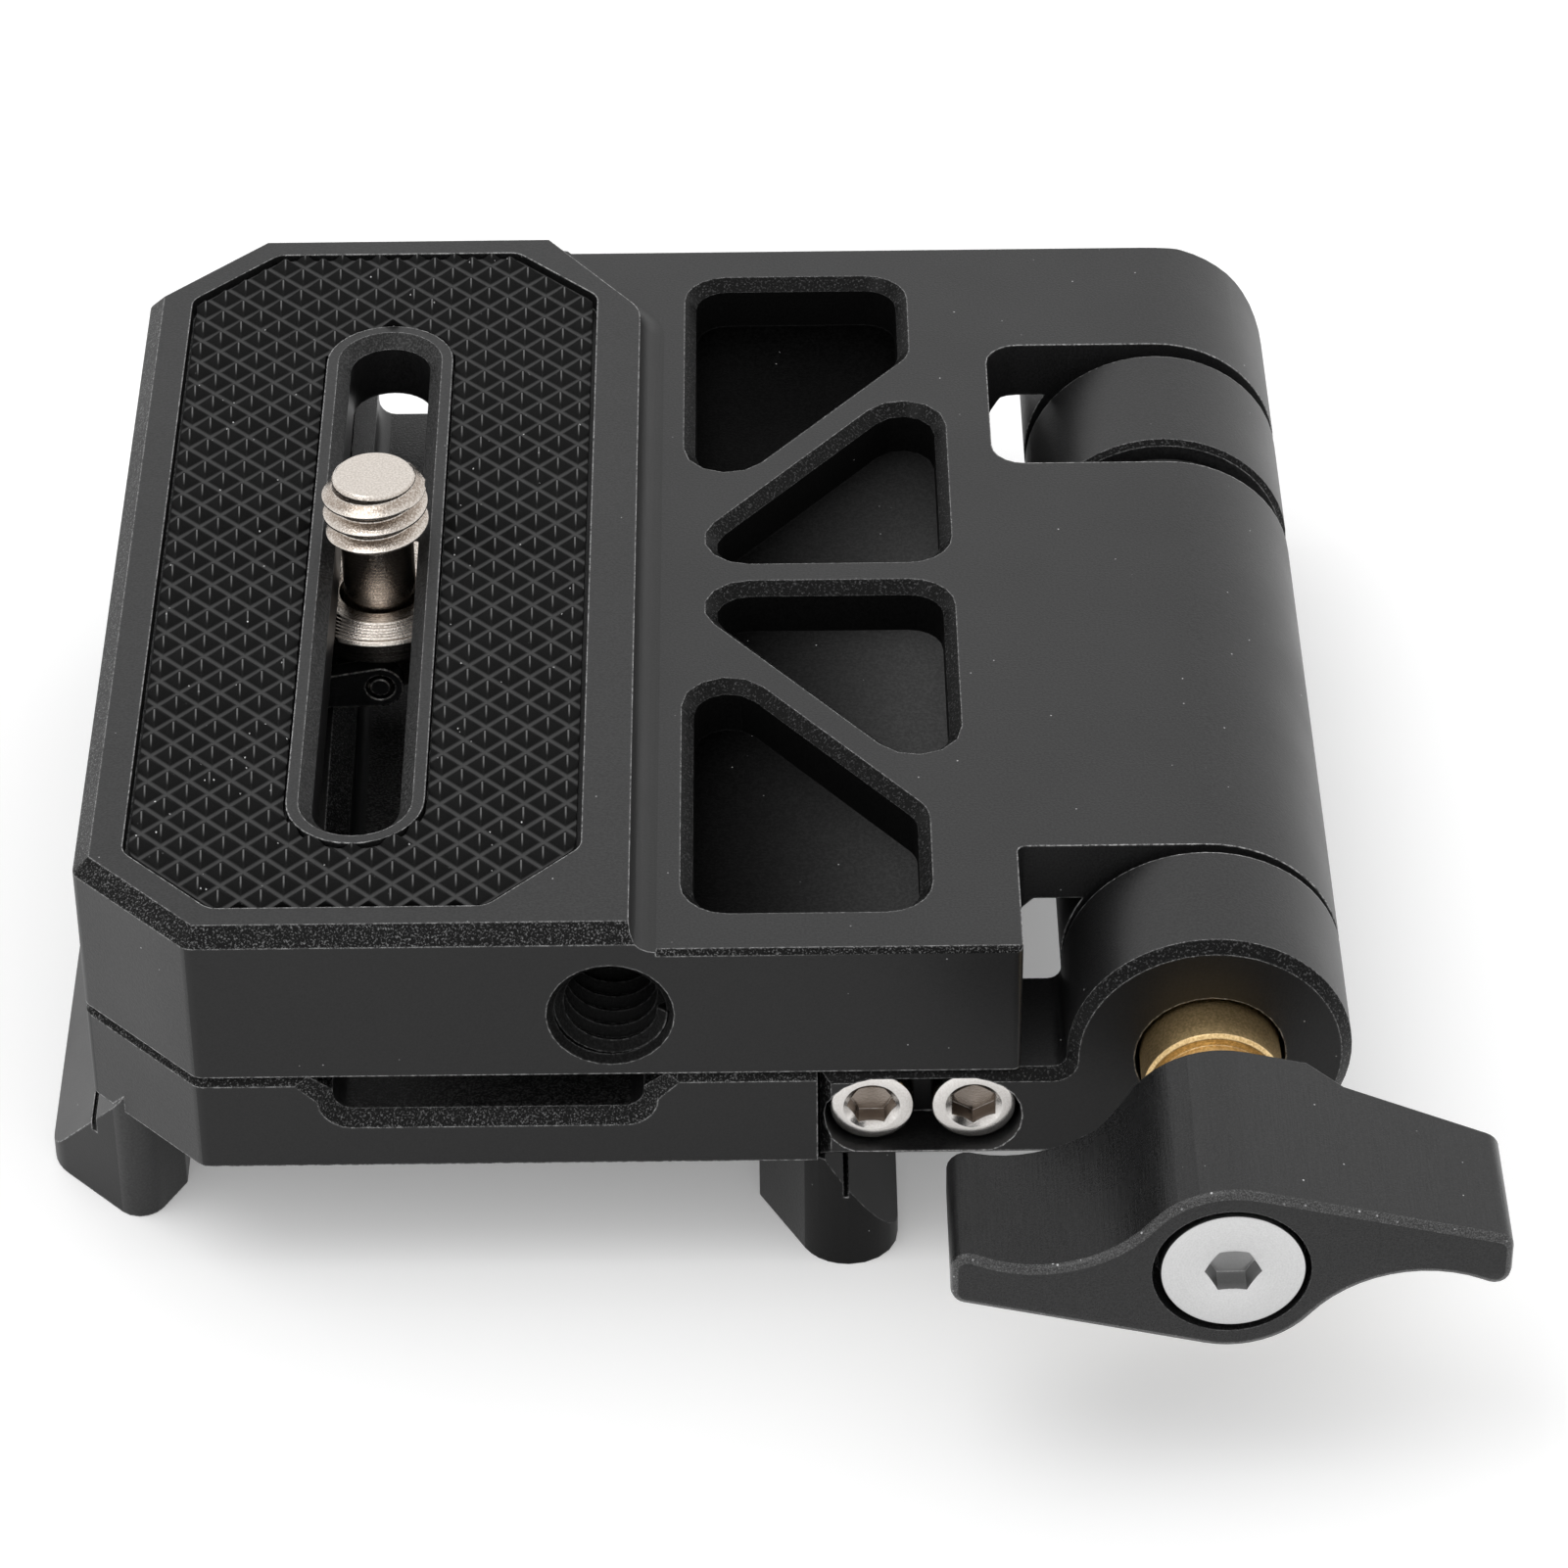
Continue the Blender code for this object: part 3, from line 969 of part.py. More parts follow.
def build_knob():
    over = CUT_OVERRUN
    knob = loft("clamp_knob", knob_outline(), (
        (-KNOB_FRONT, KNOB_EDGE), (-KNOB_FRONT + KNOB_EDGE * 0.3, KNOB_EDGE * 0.3),
        (-KNOB_FRONT + KNOB_EDGE, 0.0), (-KNOB_HUB_BACK, 0.0)), "Y")
    cut(knob, wing_back_tool("right_wing_back", 1.0), wing_back_tool("left_wing_back", -1.0))
    head_floor = -KNOB_FRONT + KNOB_SCREW_HEAD_LENGTH + FIT_GAP
    cut(knob, turned("head_recess", (
        (-KNOB_FRONT - over, KNOB_SCREW_HEAD_RADIUS + FIT_GAP),
        (head_floor, KNOB_SCREW_HEAD_RADIUS + FIT_GAP), (head_floor, KNOB_SCREW_RADIUS + FIT_GAP),
        (-NUT_NECK_FRONT - FIT_GAP, KNOB_SCREW_RADIUS + FIT_GAP),
        (-NUT_NECK_FRONT - FIT_GAP, NUT_NECK_RADIUS + FIT_GAP),
        (-KNOB_HUB_BACK + over, NUT_NECK_RADIUS + FIT_GAP)), AXIS_CENTRE, steps=ROUND_STEPS))
    set_origin(knob, HINGE_AXIS)
    finish(knob, "black_anodised")
    nut = turned("clamp_nut", (
        (-NUT_NECK_FRONT, NUT_NECK_RADIUS), (-NUT_COLLAR_FRONT, NUT_NECK_RADIUS),
        (-NUT_COLLAR_FRONT, NUT_COLLAR_RADIUS - NUT_EDGE), (-NUT_COLLAR_FRONT + NUT_EDGE, NUT_COLLAR_RADIUS),
        (NUT_COLLAR_SINK - NUT_EDGE, NUT_COLLAR_RADIUS), (NUT_COLLAR_SINK, NUT_COLLAR_RADIUS - NUT_EDGE)),
        AXIS_CENTRE, steps=ROUND_STEPS)
    bolt_thread = prism("nut_bolt_thread", circle(BOLT_BORE, BORE_STEPS, AXIS_CENTRE),
                        NUT_COLLAR_SINK - NUT_THREAD_DEPTH, NUT_COLLAR_SINK + over, "Y")
    screw_end = -KNOB_FRONT + KNOB_SCREW_HEAD_LENGTH + KNOB_SCREW_LENGTH
    screw_thread = prism("nut_screw_thread", circle(KNOB_SCREW_RADIUS + FIT_GAP, BORE_STEPS, AXIS_CENTRE),
                         -NUT_NECK_FRONT - over, screw_end + FIT_GAP, "Y")
    cut(nut, bolt_thread, screw_thread)
    set_origin(nut, HINGE_AXIS)
    finish(nut, "brass")
    head_back = -KNOB_FRONT + KNOB_SCREW_HEAD_LENGTH
    screw = turned("knob_screw", (
        (-KNOB_FRONT, KNOB_SCREW_HEAD_RADIUS), (head_back, KNOB_SCREW_HEAD_RADIUS),
        (head_back, KNOB_SCREW_RADIUS), (screw_end, KNOB_SCREW_RADIUS)), AXIS_CENTRE, steps=ROUND_STEPS)
    cut(screw, prism("knob_screw_key", hexagon(KNOB_SCREW_KEY, AXIS_CENTRE), -KNOB_FRONT - over,
                     -KNOB_FRONT + KNOB_SCREW_KEY_DEPTH, "Y"))
    set_origin(screw, HINGE_AXIS)
    finish(screw, "satin_steel")


def clear_scene():
    for leftover in list(bpy.data.objects):
        bpy.data.objects.remove(leftover)


clear_scene()
rest_frame = bpy.data.objects.new("rest_frame", None)
bpy.context.scene.collection.objects.link(rest_frame)
rest_frame.location = (-(DOVETAIL_LIPS[0] + KNOB_REACH) / 2, -(PLATE_DEPTH - KNOB_FRONT) / 2, 0.0)

build_lower_plate()
build_hinge_arm()
build_arm_screws()
build_upper_plate()
build_grip_pad()
build_camera_screw()
build_hinge_stack()
build_knob()
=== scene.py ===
import json
from math import pi, radians, sqrt, tan

import bmesh
import bpy
from mathutils import Matrix, Vector, noise


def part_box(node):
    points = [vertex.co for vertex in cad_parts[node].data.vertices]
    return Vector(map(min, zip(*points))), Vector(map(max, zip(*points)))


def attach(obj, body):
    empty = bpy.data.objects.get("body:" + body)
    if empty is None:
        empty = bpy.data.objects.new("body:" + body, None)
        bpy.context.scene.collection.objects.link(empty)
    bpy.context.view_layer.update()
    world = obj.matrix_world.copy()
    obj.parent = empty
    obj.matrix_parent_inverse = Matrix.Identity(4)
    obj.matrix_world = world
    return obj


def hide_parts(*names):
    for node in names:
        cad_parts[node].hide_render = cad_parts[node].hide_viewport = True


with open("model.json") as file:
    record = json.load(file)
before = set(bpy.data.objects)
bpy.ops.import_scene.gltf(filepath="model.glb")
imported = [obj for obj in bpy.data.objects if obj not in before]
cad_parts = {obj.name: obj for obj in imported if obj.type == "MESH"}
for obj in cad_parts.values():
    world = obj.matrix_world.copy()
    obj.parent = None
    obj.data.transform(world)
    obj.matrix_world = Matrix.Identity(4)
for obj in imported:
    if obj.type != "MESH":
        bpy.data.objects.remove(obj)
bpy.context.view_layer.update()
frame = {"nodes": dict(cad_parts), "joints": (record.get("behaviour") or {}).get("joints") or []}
mm = 0.001
joints = {joint["name"]: Vector(joint["pos_m"]) for joint in frame["joints"]}
hingeAxis = joints["fold"]
screwAxis = joints["screw_spin"]
plateLow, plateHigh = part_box("upper_plate")
lowerLow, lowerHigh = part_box("lower_plate")
frontY = plateLow.y
platformTop = plateHigh.z
barrelRadius = 8.0 * mm
lowTop = hingeAxis.z + barrelRadius  # the low level runs into the top of the barrel
print("frame loaded:", len(frame["nodes"]), "nodes")


def place(tree, kind, inputs=None, **settings):
    # a new node with its settings made, and its inputs linked or set
    node = tree.nodes.new(kind)
    for key, value in settings.items():
        setattr(node, key, value)
    for key, value in (inputs or {}).items():
        if isinstance(value, bpy.types.NodeSocket):
            tree.links.new(value, node.inputs[key])
        else:
            node.inputs[key].default_value = value
    return node


def math(tree, operation, first, second=0.0, clamp=False):
    node = place(tree, "ShaderNodeMath", {0: first, 1: second}, operation=operation, use_clamp=clamp)
    return node.outputs[0]


def multiply(tree, first, second, clamp=False):
    return math(tree, "MULTIPLY", first, second, clamp)


def spread(tree, value, fromLow, fromHigh, toLow=0.0, toHigh=1.0):
    node = place(tree, "ShaderNodeMapRange", {
        "Value": value, "From Min": fromLow, "From Max": fromHigh, "To Min": toLow, "To Max": toHigh})
    return node.outputs["Result"]


def rgba(shade):
    return (*shade, 1.0)


def blendShades(tree, share, first, second):
    node = place(tree, "ShaderNodeMix", {0: share, 6: first, 7: second}, data_type="RGBA")
    return node.outputs[2]


def splitVector(tree, vector):
    return place(tree, "ShaderNodeSeparateXYZ", {"Vector": vector}).outputs


def newGroup(name, inputs, outputs):
    group = bpy.data.node_groups.new(name, "ShaderNodeTree")
    for label, value in {"Vector": None, **inputs}.items():
        kind = "NodeSocketVector" if value is None else "NodeSocketFloat"
        socket = group.interface.new_socket(name=label, in_out="INPUT", socket_type=kind)
        if value is not None:
            socket.default_value = value
    for label, kind in outputs.items():
        group.interface.new_socket(name=label, in_out="OUTPUT", socket_type=kind)
    return group, group.nodes.new("NodeGroupInput").outputs, group.nodes.new("NodeGroupOutput").inputs


def useGroup(tree, group, inputs):
    return place(tree, "ShaderNodeGroup", inputs, node_tree=group).outputs


def buildFineGrain():
    # mottled grains of one size, with a slow drift under them
    group, start, end = newGroup("fineGrain", {"Size": 0.0001, "Low": 0.3, "High": 0.7},
                                 {"Grain": "NodeSocketFloat", "Drift": "NodeSocketFloat"})
    grain = place(group, "ShaderNodeTexNoise", {
        "Vector": start["Vector"], "Scale": math(group, "DIVIDE", 1.0, start["Size"]),
        "Detail": 2.0, "Roughness": 0.6})
    drift = place(group, "ShaderNodeTexNoise", {
        "Vector": start["Vector"], "Scale": 140.0, "Detail": 3.0, "Roughness": 0.5})
    group.links.new(spread(group, grain.outputs["Fac"], start["Low"], start["High"]), end["Grain"])
    group.links.new(drift.outputs["Fac"], end["Drift"])
    return group


def buildEdgeWearAndHighlight():
    # lighter where the surface turns over an edge, worn metal with a painted highlight, broken up by a fine
    # noise
    look = dict(samples=6, flat=0.995, turned=0.86, patchLow=0.40, patchHigh=0.62, patchLeast=0.12)
    group, start, end = newGroup("edgeWearAndHighlight", {"Radius": 0.0001, "Amount": 0.6},
                                 {"Mask": "NodeSocketFloat", "Normal": "NodeSocketVector"})
    turned = place(group, "ShaderNodeBevel", {"Radius": start["Radius"]}, samples=look["samples"])
    flat = place(group, "ShaderNodeNewGeometry")
    facing = place(group, "ShaderNodeVectorMath", {
        0: turned.outputs["Normal"], 1: flat.outputs["Normal"]}, operation="DOT_PRODUCT")
    bend = spread(group, facing.outputs["Value"], look["flat"], look["turned"])
    broken = place(group, "ShaderNodeTexNoise", {
        "Vector": start["Vector"], "Scale": 4200.0, "Detail": 3.0, "Roughness": 0.7})
    patch = spread(group, broken.outputs["Fac"], look["patchLow"], look["patchHigh"], look["patchLeast"])
    mask = multiply(group, multiply(group, bend, patch), start["Amount"], clamp=True)
    group.links.new(mask, end["Mask"])
    group.links.new(turned.outputs["Normal"], end["Normal"])
    return group


def buildDust():
    # a few tiny pale specks
    group, start, end = newGroup("dustSpecks", {"Cell": 0.0012, "Size": 0.06, "Share": 0.3},
                                 {"Mask": "NodeSocketFloat"})
    cells = place(group, "ShaderNodeTexVoronoi", {
        "Vector": start["Vector"], "Scale": math(group, "DIVIDE", 1.0, start["Cell"])})
    near = math(group, "LESS_THAN", cells.outputs["Distance"], start["Size"])
    chance = place(group, "ShaderNodeSeparateColor", {"Color": cells.outputs["Color"]}).outputs
    chosen = math(group, "LESS_THAN", chance[0], start["Share"])
    group.links.new(multiply(group, multiply(group, near, chosen), chance[1]), end["Mask"])
    return group


def buildTurnedRings():
    # concentric tool marks round the local Z axis
    group, start, end = newGroup("turnedRings", {"Pitch": 0.0002}, {"Height": "NodeSocketFloat"})
    spot = splitVector(group, start["Vector"])
    across = math(group, "ADD", multiply(group, spot["X"], spot["X"]), multiply(group, spot["Y"], spot["Y"]))
    along = math(group, "ADD", math(group, "SQRT", across), spot["Z"])
    count = math(group, "DIVIDE", along, start["Pitch"])
    wave = math(group, "SINE", multiply(group, count, 2 * pi))
    uneven = place(group, "ShaderNodeTexNoise", {"W": count, "Scale": 0.9, "Detail": 2.0},
                   noise_dimensions="1D")
    height = multiply(group, spread(group, wave, -1.0, 1.0), uneven.outputs["Fac"])
    group.links.new(height, end["Height"])
    return group


def buildStreaks():
    # fine marks drawn out along the local Y axis
    group, start, end = newGroup("drawnStreaks", {"Width": 0.00008, "Length": 0.003},
                                 {"Value": "NodeSocketFloat"})
    spot = splitVector(group, start["Vector"])
    joined = place(group, "ShaderNodeCombineXYZ", {
        "X": math(group, "DIVIDE", spot["X"], start["Width"]),
        "Y": math(group, "DIVIDE", spot["Y"], start["Length"]),
        "Z": math(group, "DIVIDE", spot["Z"], start["Width"])})
    streaks = place(group, "ShaderNodeTexNoise", {
        "Vector": joined.outputs["Vector"], "Scale": 1.0, "Detail": 2.0, "Roughness": 0.55})
    group.links.new(streaks.outputs["Fac"], end["Value"])
    return group


fineGrain = buildFineGrain()
edgeWearAndHighlight = buildEdgeWearAndHighlight()
dustSpecks = buildDust()
turnedRings = buildTurnedRings()
drawnStreaks = buildStreaks()
print("shader groups ready")

plainLook = dict(metallic=0.0, specular=0.5, low=0.3, high=0.7, uneven=0.03, driftLow=0.3, driftHigh=0.7,
                 bump=0.004, bumpStrength=0.6, edge=0.12, rub=0.5, turn=(0.0, 0.0, 0.0), ringShade=0.3,
                 streakLow=0.35, streakHigh=0.65, dust=0.0, dustCell=1.1, dustSize=0.05,
                 dustShade=(0.60, 0.60, 0.61))


def newMaterial(name):
    material = bpy.data.materials.new(name)
    material.use_nodes = True
    return material, material.node_tree


def addRings(tree, look, spot, height, colour):
    # tool marks turned round the piece's axis
    rings = useGroup(tree, turnedRings, {"Vector": spot, "Pitch": look["ringPitch"] * mm})["Height"]
    height = math(tree, "ADD", height, multiply(tree, rings, look["ringHeight"]))
    share = multiply(tree, rings, look["ringShade"])
    return rings, height, blendShades(tree, share, colour, rgba(look["ringColour"]))


def addStreaks(tree, look, where, height, colour):
    # marks drawn out along the piece
    lines = useGroup(tree, drawnStreaks, {
        "Vector": where, "Width": look["streakWidth"] * mm, "Length": look["streakLength"] * mm})
    value = spread(tree, lines["Value"], look["streakLow"], look["streakHigh"])
    height = math(tree, "ADD", height, multiply(tree, value, look["streakHeight"]))
    share = multiply(tree, value, look["streakShade"])
    return height, blendShades(tree, share, colour, rgba(look["light"]))


def paintShadeInRoots(tree, look, spot, rings, grain, colour):
    # painted shade, in patches, towards the root of a screw's ridge and along its turning marks, below its
    # bright top face
    fade = dict(start=0.05, end=0.3, patchLeast=0.35)
    local = splitVector(tree, spot)
    flat = place(tree, "ShaderNodeCombineXYZ", {"X": local["X"], "Y": local["Y"]}).outputs["Vector"]
    reach = place(tree, "ShaderNodeVectorMath", {0: flat}, operation="LENGTH").outputs["Value"]
    deep = spread(tree, reach, look["crest"] * mm, look["root"] * mm)
    deep = multiply(tree, deep, math(tree, "GREATER_THAN", reach, look["neck"] * mm))
    below = spread(tree, local["Z"], look["topFace"] - fade["start"] * mm, look["topFace"] - fade["end"] * mm)
    marks = math(tree, "ADD", deep, multiply(tree, rings, look["markPaintedShade"]))
    patchy = multiply(tree, below, spread(tree, grain, 0.0, 1.0, 1.0, fade["patchLeast"]))
    shadeShare = multiply(tree, marks, patchy, clamp=True)
    return blendShades(tree, shadeShare, colour, rgba(look["rootPaintedShade"]))


def paintLightOnFloor(tree, look, where, grain, colour):
    # painted light: a floor grows lighter to the front and the right
    spot = splitVector(tree, where)
    right = spread(tree, spot["X"], hingeAxis.x + look["paintedLightFrom"][0] * mm,
                   hingeAxis.x + look["paintedLightTo"][0] * mm)
    front = spread(tree, spot["Y"], look["paintedLightFrom"][1] * mm, look["paintedLightTo"][1] * mm)
    mottle = spread(tree, grain, 0.0, 1.0, look["paintedLightLeast"], 1.0)
    lift = multiply(tree, multiply(tree, multiply(tree, right, right), front), mottle)
    return blendShades(tree, lift, colour, rgba(look["paintedLightShade"]))


def paintShadeInSocket(tree, look, where, colour):
    # painted shade: a key socket darkens behind the head's face
    fade = dict(start=0.08, end=0.6)
    depth = splitVector(tree, where)["Y"]
    behind = spread(tree, depth, look["face"] + fade["start"] * mm, look["face"] + fade["end"] * mm)
    share = multiply(tree, behind, look["socketShadeShare"])
    return blendShades(tree, share, colour, rgba(look["socketPaintedShade"]))


def addDust(tree, look, where, colour):
    dust = useGroup(tree, dustSpecks, {"Vector": where, "Cell": look["dustCell"] * mm,
                                       "Size": look["dustSize"], "Share": look["dust"]})
    return blendShades(tree, dust["Mask"], colour, rgba(look["dustShade"]))


def linkSurface(tree, look, colour, roughness, height, normal):
    surface = tree.nodes["Principled BSDF"].inputs
    surface["Metallic"].default_value = look["metallic"]
    surface["Specular IOR Level"].default_value = look["specular"]
    bump = place(tree, "ShaderNodeBump", {
        "Height": height, "Distance": look["bump"] * mm, "Strength": look["bumpStrength"], "Normal": normal})
    tree.links.new(colour, surface["Base Color"])
    tree.links.new(roughness, surface["Roughness"])
    tree.links.new(bump.outputs["Normal"], surface["Normal"])


def makeMetal(name, values):
    # base colour, roughness and bump from grain, tool marks, edges (worn, with a painted highlight), painted
    # shade in roots and sockets, painted light on floors, and dust, as the dictionary says
    look = {**plainLook, "edgeHighlightShade": values["light"], **values}
    material, tree = newMaterial(name)
    where = place(tree, "ShaderNodeTexCoord").outputs["Object"]
    fine = useGroup(tree, fineGrain, {
        "Vector": where, "Size": look["grain"] * mm, "Low": look["low"], "High": look["high"]})
    height = fine["Grain"]
    colour = blendShades(tree, fine["Grain"], rgba(look["dark"]), rgba(look["light"]))
    drift = spread(tree, fine["Drift"], look["driftLow"], look["driftHigh"], -1.0, 1.0)
    roughness = math(tree, "ADD", look["roughness"], multiply(tree, drift, look["uneven"]))
    if "ringPitch" in look:
        spot = place(tree, "ShaderNodeMapping", {
            "Vector": where, "Location": look["centre"], "Rotation": look["turn"]},
            vector_type="TEXTURE").outputs["Vector"]
        rings, height, colour = addRings(tree, look, spot, height, colour)
    if "streakWidth" in look:
        height, colour = addStreaks(tree, look, where, height, colour)
    # painted shade towards the screw's roots
    if "rootPaintedShade" in look:
        colour = paintShadeInRoots(tree, look, spot, rings, fine["Grain"], colour)
    # painted light on the recess floors
    if "paintedLightShade" in look:
        colour = paintLightOnFloor(tree, look, where, fine["Grain"], colour)
    # painted shade inside key sockets
    if "socketPaintedShade" in look:
        colour = paintShadeInSocket(tree, look, where, colour)
    # edges lighten: worn metal with a painted highlight
    rub = useGroup(tree, edgeWearAndHighlight, {"Vector": where, "Radius": look["edge"] * mm, "Amount": look["rub"]})
    colour = blendShades(tree, rub["Mask"], colour, rgba(look["edgeHighlightShade"]))
    if look["dust"]:
        colour = addDust(tree, look, where, colour)
    linkSurface(tree, look, colour, roughness, height, rub["Normal"])
    return material


anodised = {
    "top": dict(dark=(0.0010, 0.0010, 0.0012), light=(0.0165, 0.0165, 0.0168), grain=0.14,
                roughness=0.42, bump=0.010, edge=0.15, rub=1.0, edgeHighlightShade=(0.75, 0.75, 0.75),
                dust=0.34, dustSize=0.045),
    # a darker, painted-shade copy of the top finish for upright outer faces
    "side": dict(dark=(0.0040, 0.0040, 0.0042), light=(0.0080, 0.0080, 0.0082), grain=0.13, specular=0.30,
                 roughness=0.42, bump=0.005, edge=0.15, rub=1.0, edgeHighlightShade=(0.70, 0.70, 0.70),
                 dust=0.34, dustSize=0.045),
    "chamfer": dict(dark=(0.0010, 0.0010, 0.0010), light=(0.185, 0.185, 0.186), grain=0.11, low=0.54,
                    high=0.72, specular=0.15, roughness=0.36, bump=0.03, edge=0.12, rub=0.95,
                    edgeHighlightShade=(0.60, 0.60, 0.60)),
    "floor": dict(dark=(0.0015, 0.0015, 0.0015), light=(0.045, 0.045, 0.045), grain=0.15, low=0.46,
                  high=0.68, specular=0.30, roughness=0.4, bump=0.03, edge=0.12, rub=0.6,
                  edgeHighlightShade=(0.20, 0.20, 0.20)),
    "pocketEdge": dict(dark=(0.0010, 0.0010, 0.0010), light=(0.085, 0.085, 0.086), grain=0.14, low=0.55,
                       high=0.74, specular=0.13, roughness=0.30, bump=0.04, edge=0.1, rub=0.9,
                       edgeHighlightShade=(0.26, 0.26, 0.26)),
    "slotEdge": dict(dark=(0.002, 0.002, 0.002), light=(0.050, 0.050, 0.050), grain=0.14, low=0.44,
                     high=0.68, specular=0.3, roughness=0.4, bump=0.02, edge=0.1, rub=0.7,
                     edgeHighlightShade=(0.16, 0.16, 0.16)),
    # recess walls and floors: darker, painted-shade copies of the finish
    "shadedPocket": dict(dark=(0.0015, 0.0015, 0.0015), light=(0.0050, 0.0050, 0.0050), grain=0.14,
                   specular=0.07, roughness=0.6, uneven=0.04, bump=0.01, edge=0.1, rub=0.2,
                   edgeHighlightShade=(0.06, 0.06, 0.06), dust=0.3, dustSize=0.04),
    "pocketFloor": dict(dark=(0.0006, 0.0006, 0.0006), light=(0.0030, 0.0030, 0.0030), grain=0.16, low=0.4,
                        high=0.66, specular=0.02, roughness=0.55, uneven=0.04, bump=0.02, edge=0.1, rub=0.2,
                        edgeHighlightShade=(0.05, 0.05, 0.05), dust=0.4, dustCell=1.0, dustSize=0.045,
                        # painted light towards the front and the right
                        paintedLightShade=(0.105, 0.105, 0.105), paintedLightLeast=0.72,
                        paintedLightFrom=(-29.0, 30.0), paintedLightTo=(-12.0, 10.0)),
    # a near-black, painted-shade copy for the threaded hole's walls, its mouth and its ridge
    "thread": dict(dark=(0.0010, 0.0010, 0.0010), light=(0.0070, 0.0070, 0.0070), grain=0.16,
                   low=0.45, high=0.65, specular=0.08, roughness=0.4, bump=0.02, edge=0.16, rub=0.9,
                   edgeHighlightShade=(0.20, 0.20, 0.20)),
    "step": dict(dark=(0.0045, 0.0045, 0.0045), light=(0.0130, 0.0130, 0.0130), grain=0.12, specular=0.40,
                 roughness=0.40, bump=0.006, edge=0.1, rub=0.6, edgeHighlightShade=(0.16, 0.16, 0.16),
                 streakWidth=0.12, streakLength=5.0, streakHeight=1.0, streakShade=0.5),
    # a darker, painted-shade copy for low faces that sit in shadow
    "rail": dict(dark=(0.0020, 0.0020, 0.0020), light=(0.0050, 0.0050, 0.0050), grain=0.13, specular=0.16,
                 roughness=0.42, bump=0.005, edge=0.13, rub=0.8, edgeHighlightShade=(0.26, 0.26, 0.262),
                 dust=0.34, dustSize=0.045),
    "knob": dict(dark=(0.0025, 0.0025, 0.0027), light=(0.0220, 0.0220, 0.0223), grain=0.10, low=0.36,
                 high=0.72, specular=0.42, roughness=0.27, bump=0.006, edge=0.12, rub=0.6,
                 edgeHighlightShade=(0.20, 0.20, 0.202), streakWidth=0.10, streakLength=2.6, streakHeight=1.2,
                 streakShade=0.35, dust=0.26, dustSize=0.05),
    # the knob's front fillet: lighter, worn, with a painted highlight
    "knobEdge": dict(dark=(0.012, 0.012, 0.012), light=(0.130, 0.130, 0.131), grain=0.08, low=0.44,
                     high=0.78, specular=0.5, roughness=0.26, bump=0.015, edge=0.12, rub=0.7,
                     edgeHighlightShade=(0.50, 0.50, 0.50), dust=0.7, dustCell=0.5, dustSize=0.13),
}
# darker, painted-shade copies of the knob finish for its front face, its scoop and the flank beside it
anodised["knobFront"] = dict(anodised["knob"], specular=0.30)
anodised["shadedKnobScoop"] = dict(anodised["knob"], specular=0.24)
anodised["knobFlank"] = dict(anodised["knob"], specular=0.32)
materials = {name: makeMetal(name + "Anodised", look) for name, look in anodised.items()}

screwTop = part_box("camera_screw")[1].z
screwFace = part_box("arm_screw_left")[0].y
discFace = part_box("knob_screw")[0].y
barrelLine = dict(centre=(hingeAxis.x, 0.0, hingeAxis.z), turn=(radians(90), 0.0, 0.0))
brightMetals = {
    "nickel": dict(dark=(0.62, 0.565, 0.51), light=(0.78, 0.72, 0.66), grain=0.13, low=0.40, high=0.62,
                   metallic=1.0, roughness=0.17, bump=0.010, edge=0.08, rub=0.8, edgeHighlightShade=(0.95, 0.92, 0.88),
                   centre=tuple(screwAxis), ringPitch=0.22, ringHeight=0.9, ringColour=(0.84, 0.79, 0.74),
                   rootPaintedShade=(0.36, 0.30, 0.25), crest=3.15, root=2.80, neck=2.4, markPaintedShade=0.8,
                   topFace=screwTop - screwAxis.z),
    "chrome": dict(dark=(0.62, 0.59, 0.56), light=(0.76, 0.74, 0.72), grain=0.09, metallic=1.0,
                   roughness=0.20, bump=0.003, edge=0.08, rub=0.5, edgeHighlightShade=(0.92, 0.92, 0.92),
                   socketPaintedShade=(0.20, 0.155, 0.12), socketShadeShare=0.8, face=screwFace),
    "disc": dict(dark=(0.52, 0.52, 0.52), light=(0.60, 0.60, 0.60), grain=0.1, metallic=1.0,
                 roughness=0.30, bump=0.003, edge=0.08, rub=0.6, edgeHighlightShade=(0.92, 0.92, 0.92),
                 ringPitch=0.16, ringHeight=0.8, ringColour=(0.68, 0.68, 0.68), ringShade=0.25,
                 socketPaintedShade=(0.22, 0.22, 0.22), socketShadeShare=0.55, face=discFace, **barrelLine),
    "brass": dict(dark=(0.62, 0.42, 0.19), light=(0.95, 0.70, 0.36), grain=0.16, low=0.36, high=0.66,
                  metallic=1.0, roughness=0.36, bump=0.008, edge=0.10, rub=0.9, edgeHighlightShade=(0.95, 0.78, 0.50),
                  ringPitch=0.14, ringHeight=1.2, ringColour=(0.98, 0.78, 0.44), ringShade=0.4, **barrelLine),
    "bronze": dict(dark=(0.40, 0.27, 0.14), light=(0.52, 0.36, 0.2), grain=0.1, metallic=1.0,
                   roughness=0.4, bump=0.003),
    "steel": dict(dark=(0.52, 0.52, 0.52), light=(0.66, 0.66, 0.66), grain=0.1, metallic=1.0,
                  roughness=0.32, bump=0.003, edge=0.08, rub=0.5, edgeHighlightShade=(0.85, 0.85, 0.85)),
    "blackSteel": dict(dark=(0.018, 0.018, 0.019), light=(0.035, 0.035, 0.036), grain=0.09,
                       metallic=0.3, specular=0.9, roughness=0.12, bump=0.003, edge=0.20, rub=1.0,
                       edgeHighlightShade=(0.95, 0.92, 0.88)),
    "nylon": dict(dark=(0.018, 0.018, 0.018), light=(0.028, 0.028, 0.028), grain=0.15,
                  roughness=0.5, bump=0.004, rub=0.2),
}
materials.update({name: makeMetal(name + "Finish", look) for name, look in brightMetals.items()})


